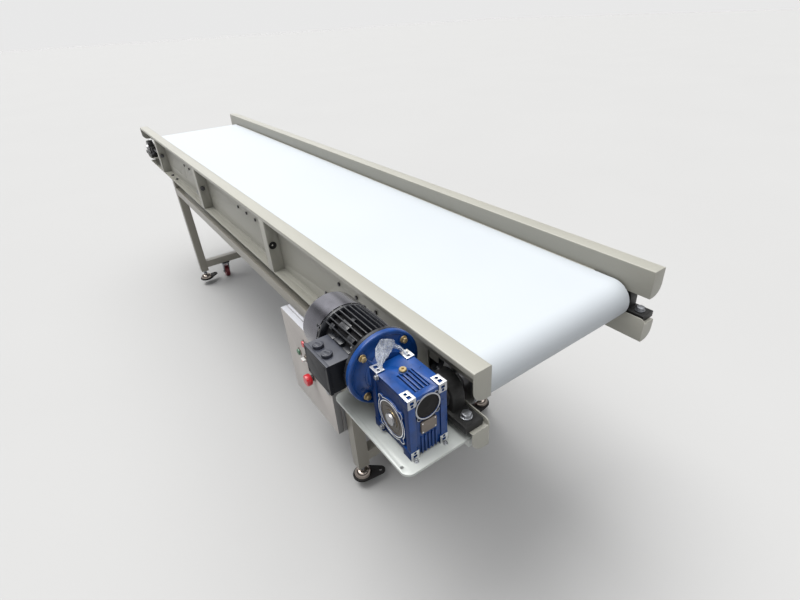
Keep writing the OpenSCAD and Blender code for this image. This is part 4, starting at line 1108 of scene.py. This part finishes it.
def make_bag():
    """Thin clear bag over the breather: tied at one pad, leaning on the flange, its tail on the far pad."""
    low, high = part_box("gearbox_housing")
    corner = Vector((low.x, low.y, high.z))

    def at(*points):
        return [corner + Vector(point) * MM for point in points]

    bm = bmesh.new()
    loft_film(bm, at((20, 8, 0.6), (17.5, 12, 4), (12, 12.5, 10), (4, 14, 21), (-3, 20, 30.5), (-7, 29, 38),
                     (-8, 37, 41)),
              at((19, 18, 0.6), (16.5, 18, 3.5), (13, 24, 5), (7, 39, 9), (0, 53, 16), (-4, 61, 24), (-6, 60, 31)),
              (1.2, 4.2), 3.5, 60, 56)
    piece("breather_bag_film", bm, "film", "frame", ("breather_bag",), angle=80)
    bm = bmesh.new()
    loft_film(bm, at((-5, 52, 27), (-3, 63, 20), (1, 71, 12.5), (10, 75, 6), (19, 76, 2.4)),
              at((-4, 50, 20), (-1, 59, 13), (4, 67, 7.5), (11, 71, 3.2), (19, 70.5, 1.6)),
              (0.8, 1.6), 1.5, 40, 32)
    piece("breather_bag_tail", bm, "film", "frame", angle=80)


# ---- Control box ----

BUTTON_HOLE_RADIUS = 11.1
STEM_RADIUS = 10.8
LABEL_BELOW_BUTTON = 23 * MM


def make_control_box():
    # Painted highlight on the tops and painted shade on the +X sides of the box and the door.
    for obj in (finish_node("control_box", 0.8), finish_node("control_door", 1.4, segments=3)):
        paint_light_by_facing(obj, Z_AXIS, "box_top")
        paint_light_by_facing(obj, X_AXIS, "box_side_painted_shade")
    finish_node("control_gear", 0.8)
    finish_node("door_lock", 0.8)
    face_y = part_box("button_bezels")[1].y

    def on_door(node, down=0.0):
        centre = middle(node)
        return facing(-Y_AXIS, (centre.x, face_y, centre.z - down))

    for name, material in (("start", "green_plastic"), ("stop", "red_plastic")):
        node = name + "_button"
        turned(name + "_cap",
               [(-24, 0), (-24, 7), (-10, 7), (-10, STEM_RADIUS), (5.6, STEM_RADIUS), (7.2, 9.8), (7.8, 7.5),
                (7.2, 6), (7.0, 0)], on_door(node), 48, material, name, (node,))
    make_emergency_stop(on_door("emergency_stop"))
    at = on_door("selector_knob")
    turned("selector_base", [(-10, 0), (-10, STEM_RADIUS), (5.5, STEM_RADIUS), (7.0, 9.6), (7.2, 0)], at, 48,
           "chrome", "selector", ("selector_knob",))
    extruded("selector_handle", rounded([(-10, -2.6), (10, -2.6), (10, 2.6), (-10, 2.6)], 1.8), 6.5, 17, at,
             "white_label", "selector", bevel=0.5)
    extruded("selector_mark", [(2.0, -0.9), (9.2, -0.9), (9.2, 0.9), (2.0, 0.9)], 16.6, 17.4, at, "red_plastic",
             "selector")
    labelled = ("start_button", "stop_button", "selector_knob")
    bm = bmesh.new()
    for node in labelled + ("emergency_stop",):
        lathe(bm, [(0, BUTTON_HOLE_RADIUS), (0, 14.4), (1.6, 14.4), (2.6, 13.6), (3.0, 12.4),
                   (3.0, BUTTON_HOLE_RADIUS)], on_door(node), 48, closed=True)
    piece("button_rings", bm, "chrome", "door", ("button_bezels",))
    bm = bmesh.new()
    for node in labelled:
        prism(bm, rounded([(-4.5, -11), (4.5, -11), (4.5, 11), (-4.5, 11)], 1), 0, 0.5,
              on_door(node, LABEL_BELOW_BUTTON) @ spin(pi / 2))
    piece("button_labels", bm, "white_label", "door", bevel=0.15)
    turned("lock_rose", [(0, 11.2), (0, 15), (1.2, 15), (2, 14), (2, 11.2)], on_door("door_lock"), 40,
           "plastic_black", "door", closed=True)


def make_emergency_stop(at):
    """Red mushroom with grip ribs on a dark stem."""
    turned("estop_mushroom",
           [(9.6, 0), (9.6, 17), (10.4, 18.6), (12.5, 19.4), (26, 20), (28.6, 19), (29.6, 16), (29.9, 9),
            (29.4, 0)], at, 64, "red_plastic", "estop", ("emergency_stop",))
    turned("estop_stem", [(-10, 0), (-10, STEM_RADIUS), (9.8, STEM_RADIUS), (9.8, 0)], at, 48, "plastic_black",
           "estop")
    ribs = 20
    bm = bmesh.new()
    for k in range(ribs):
        prism(bm, [(18.6, -0.7), (20, -0.5), (20, 0.5), (18.6, 0.7)], 13, 25,
              at @ spin(2 * pi * k / ribs))
    piece("estop_grip_ribs", bm, "red_plastic", "estop")


# ---- The whole object ----

make_camera()
make_stage()
make_frame()
make_belt()
for corner in CORNERS:
    make_foot(corner)
    make_caster(corner)
make_bearings()
make_gearbox()
make_motor()
make_bag()
make_control_box()
for node_name in ("worm_wheel", "worm_shaft", "motor_rotor", "motor_fan"):
    finish_node(node_name, 0.6)
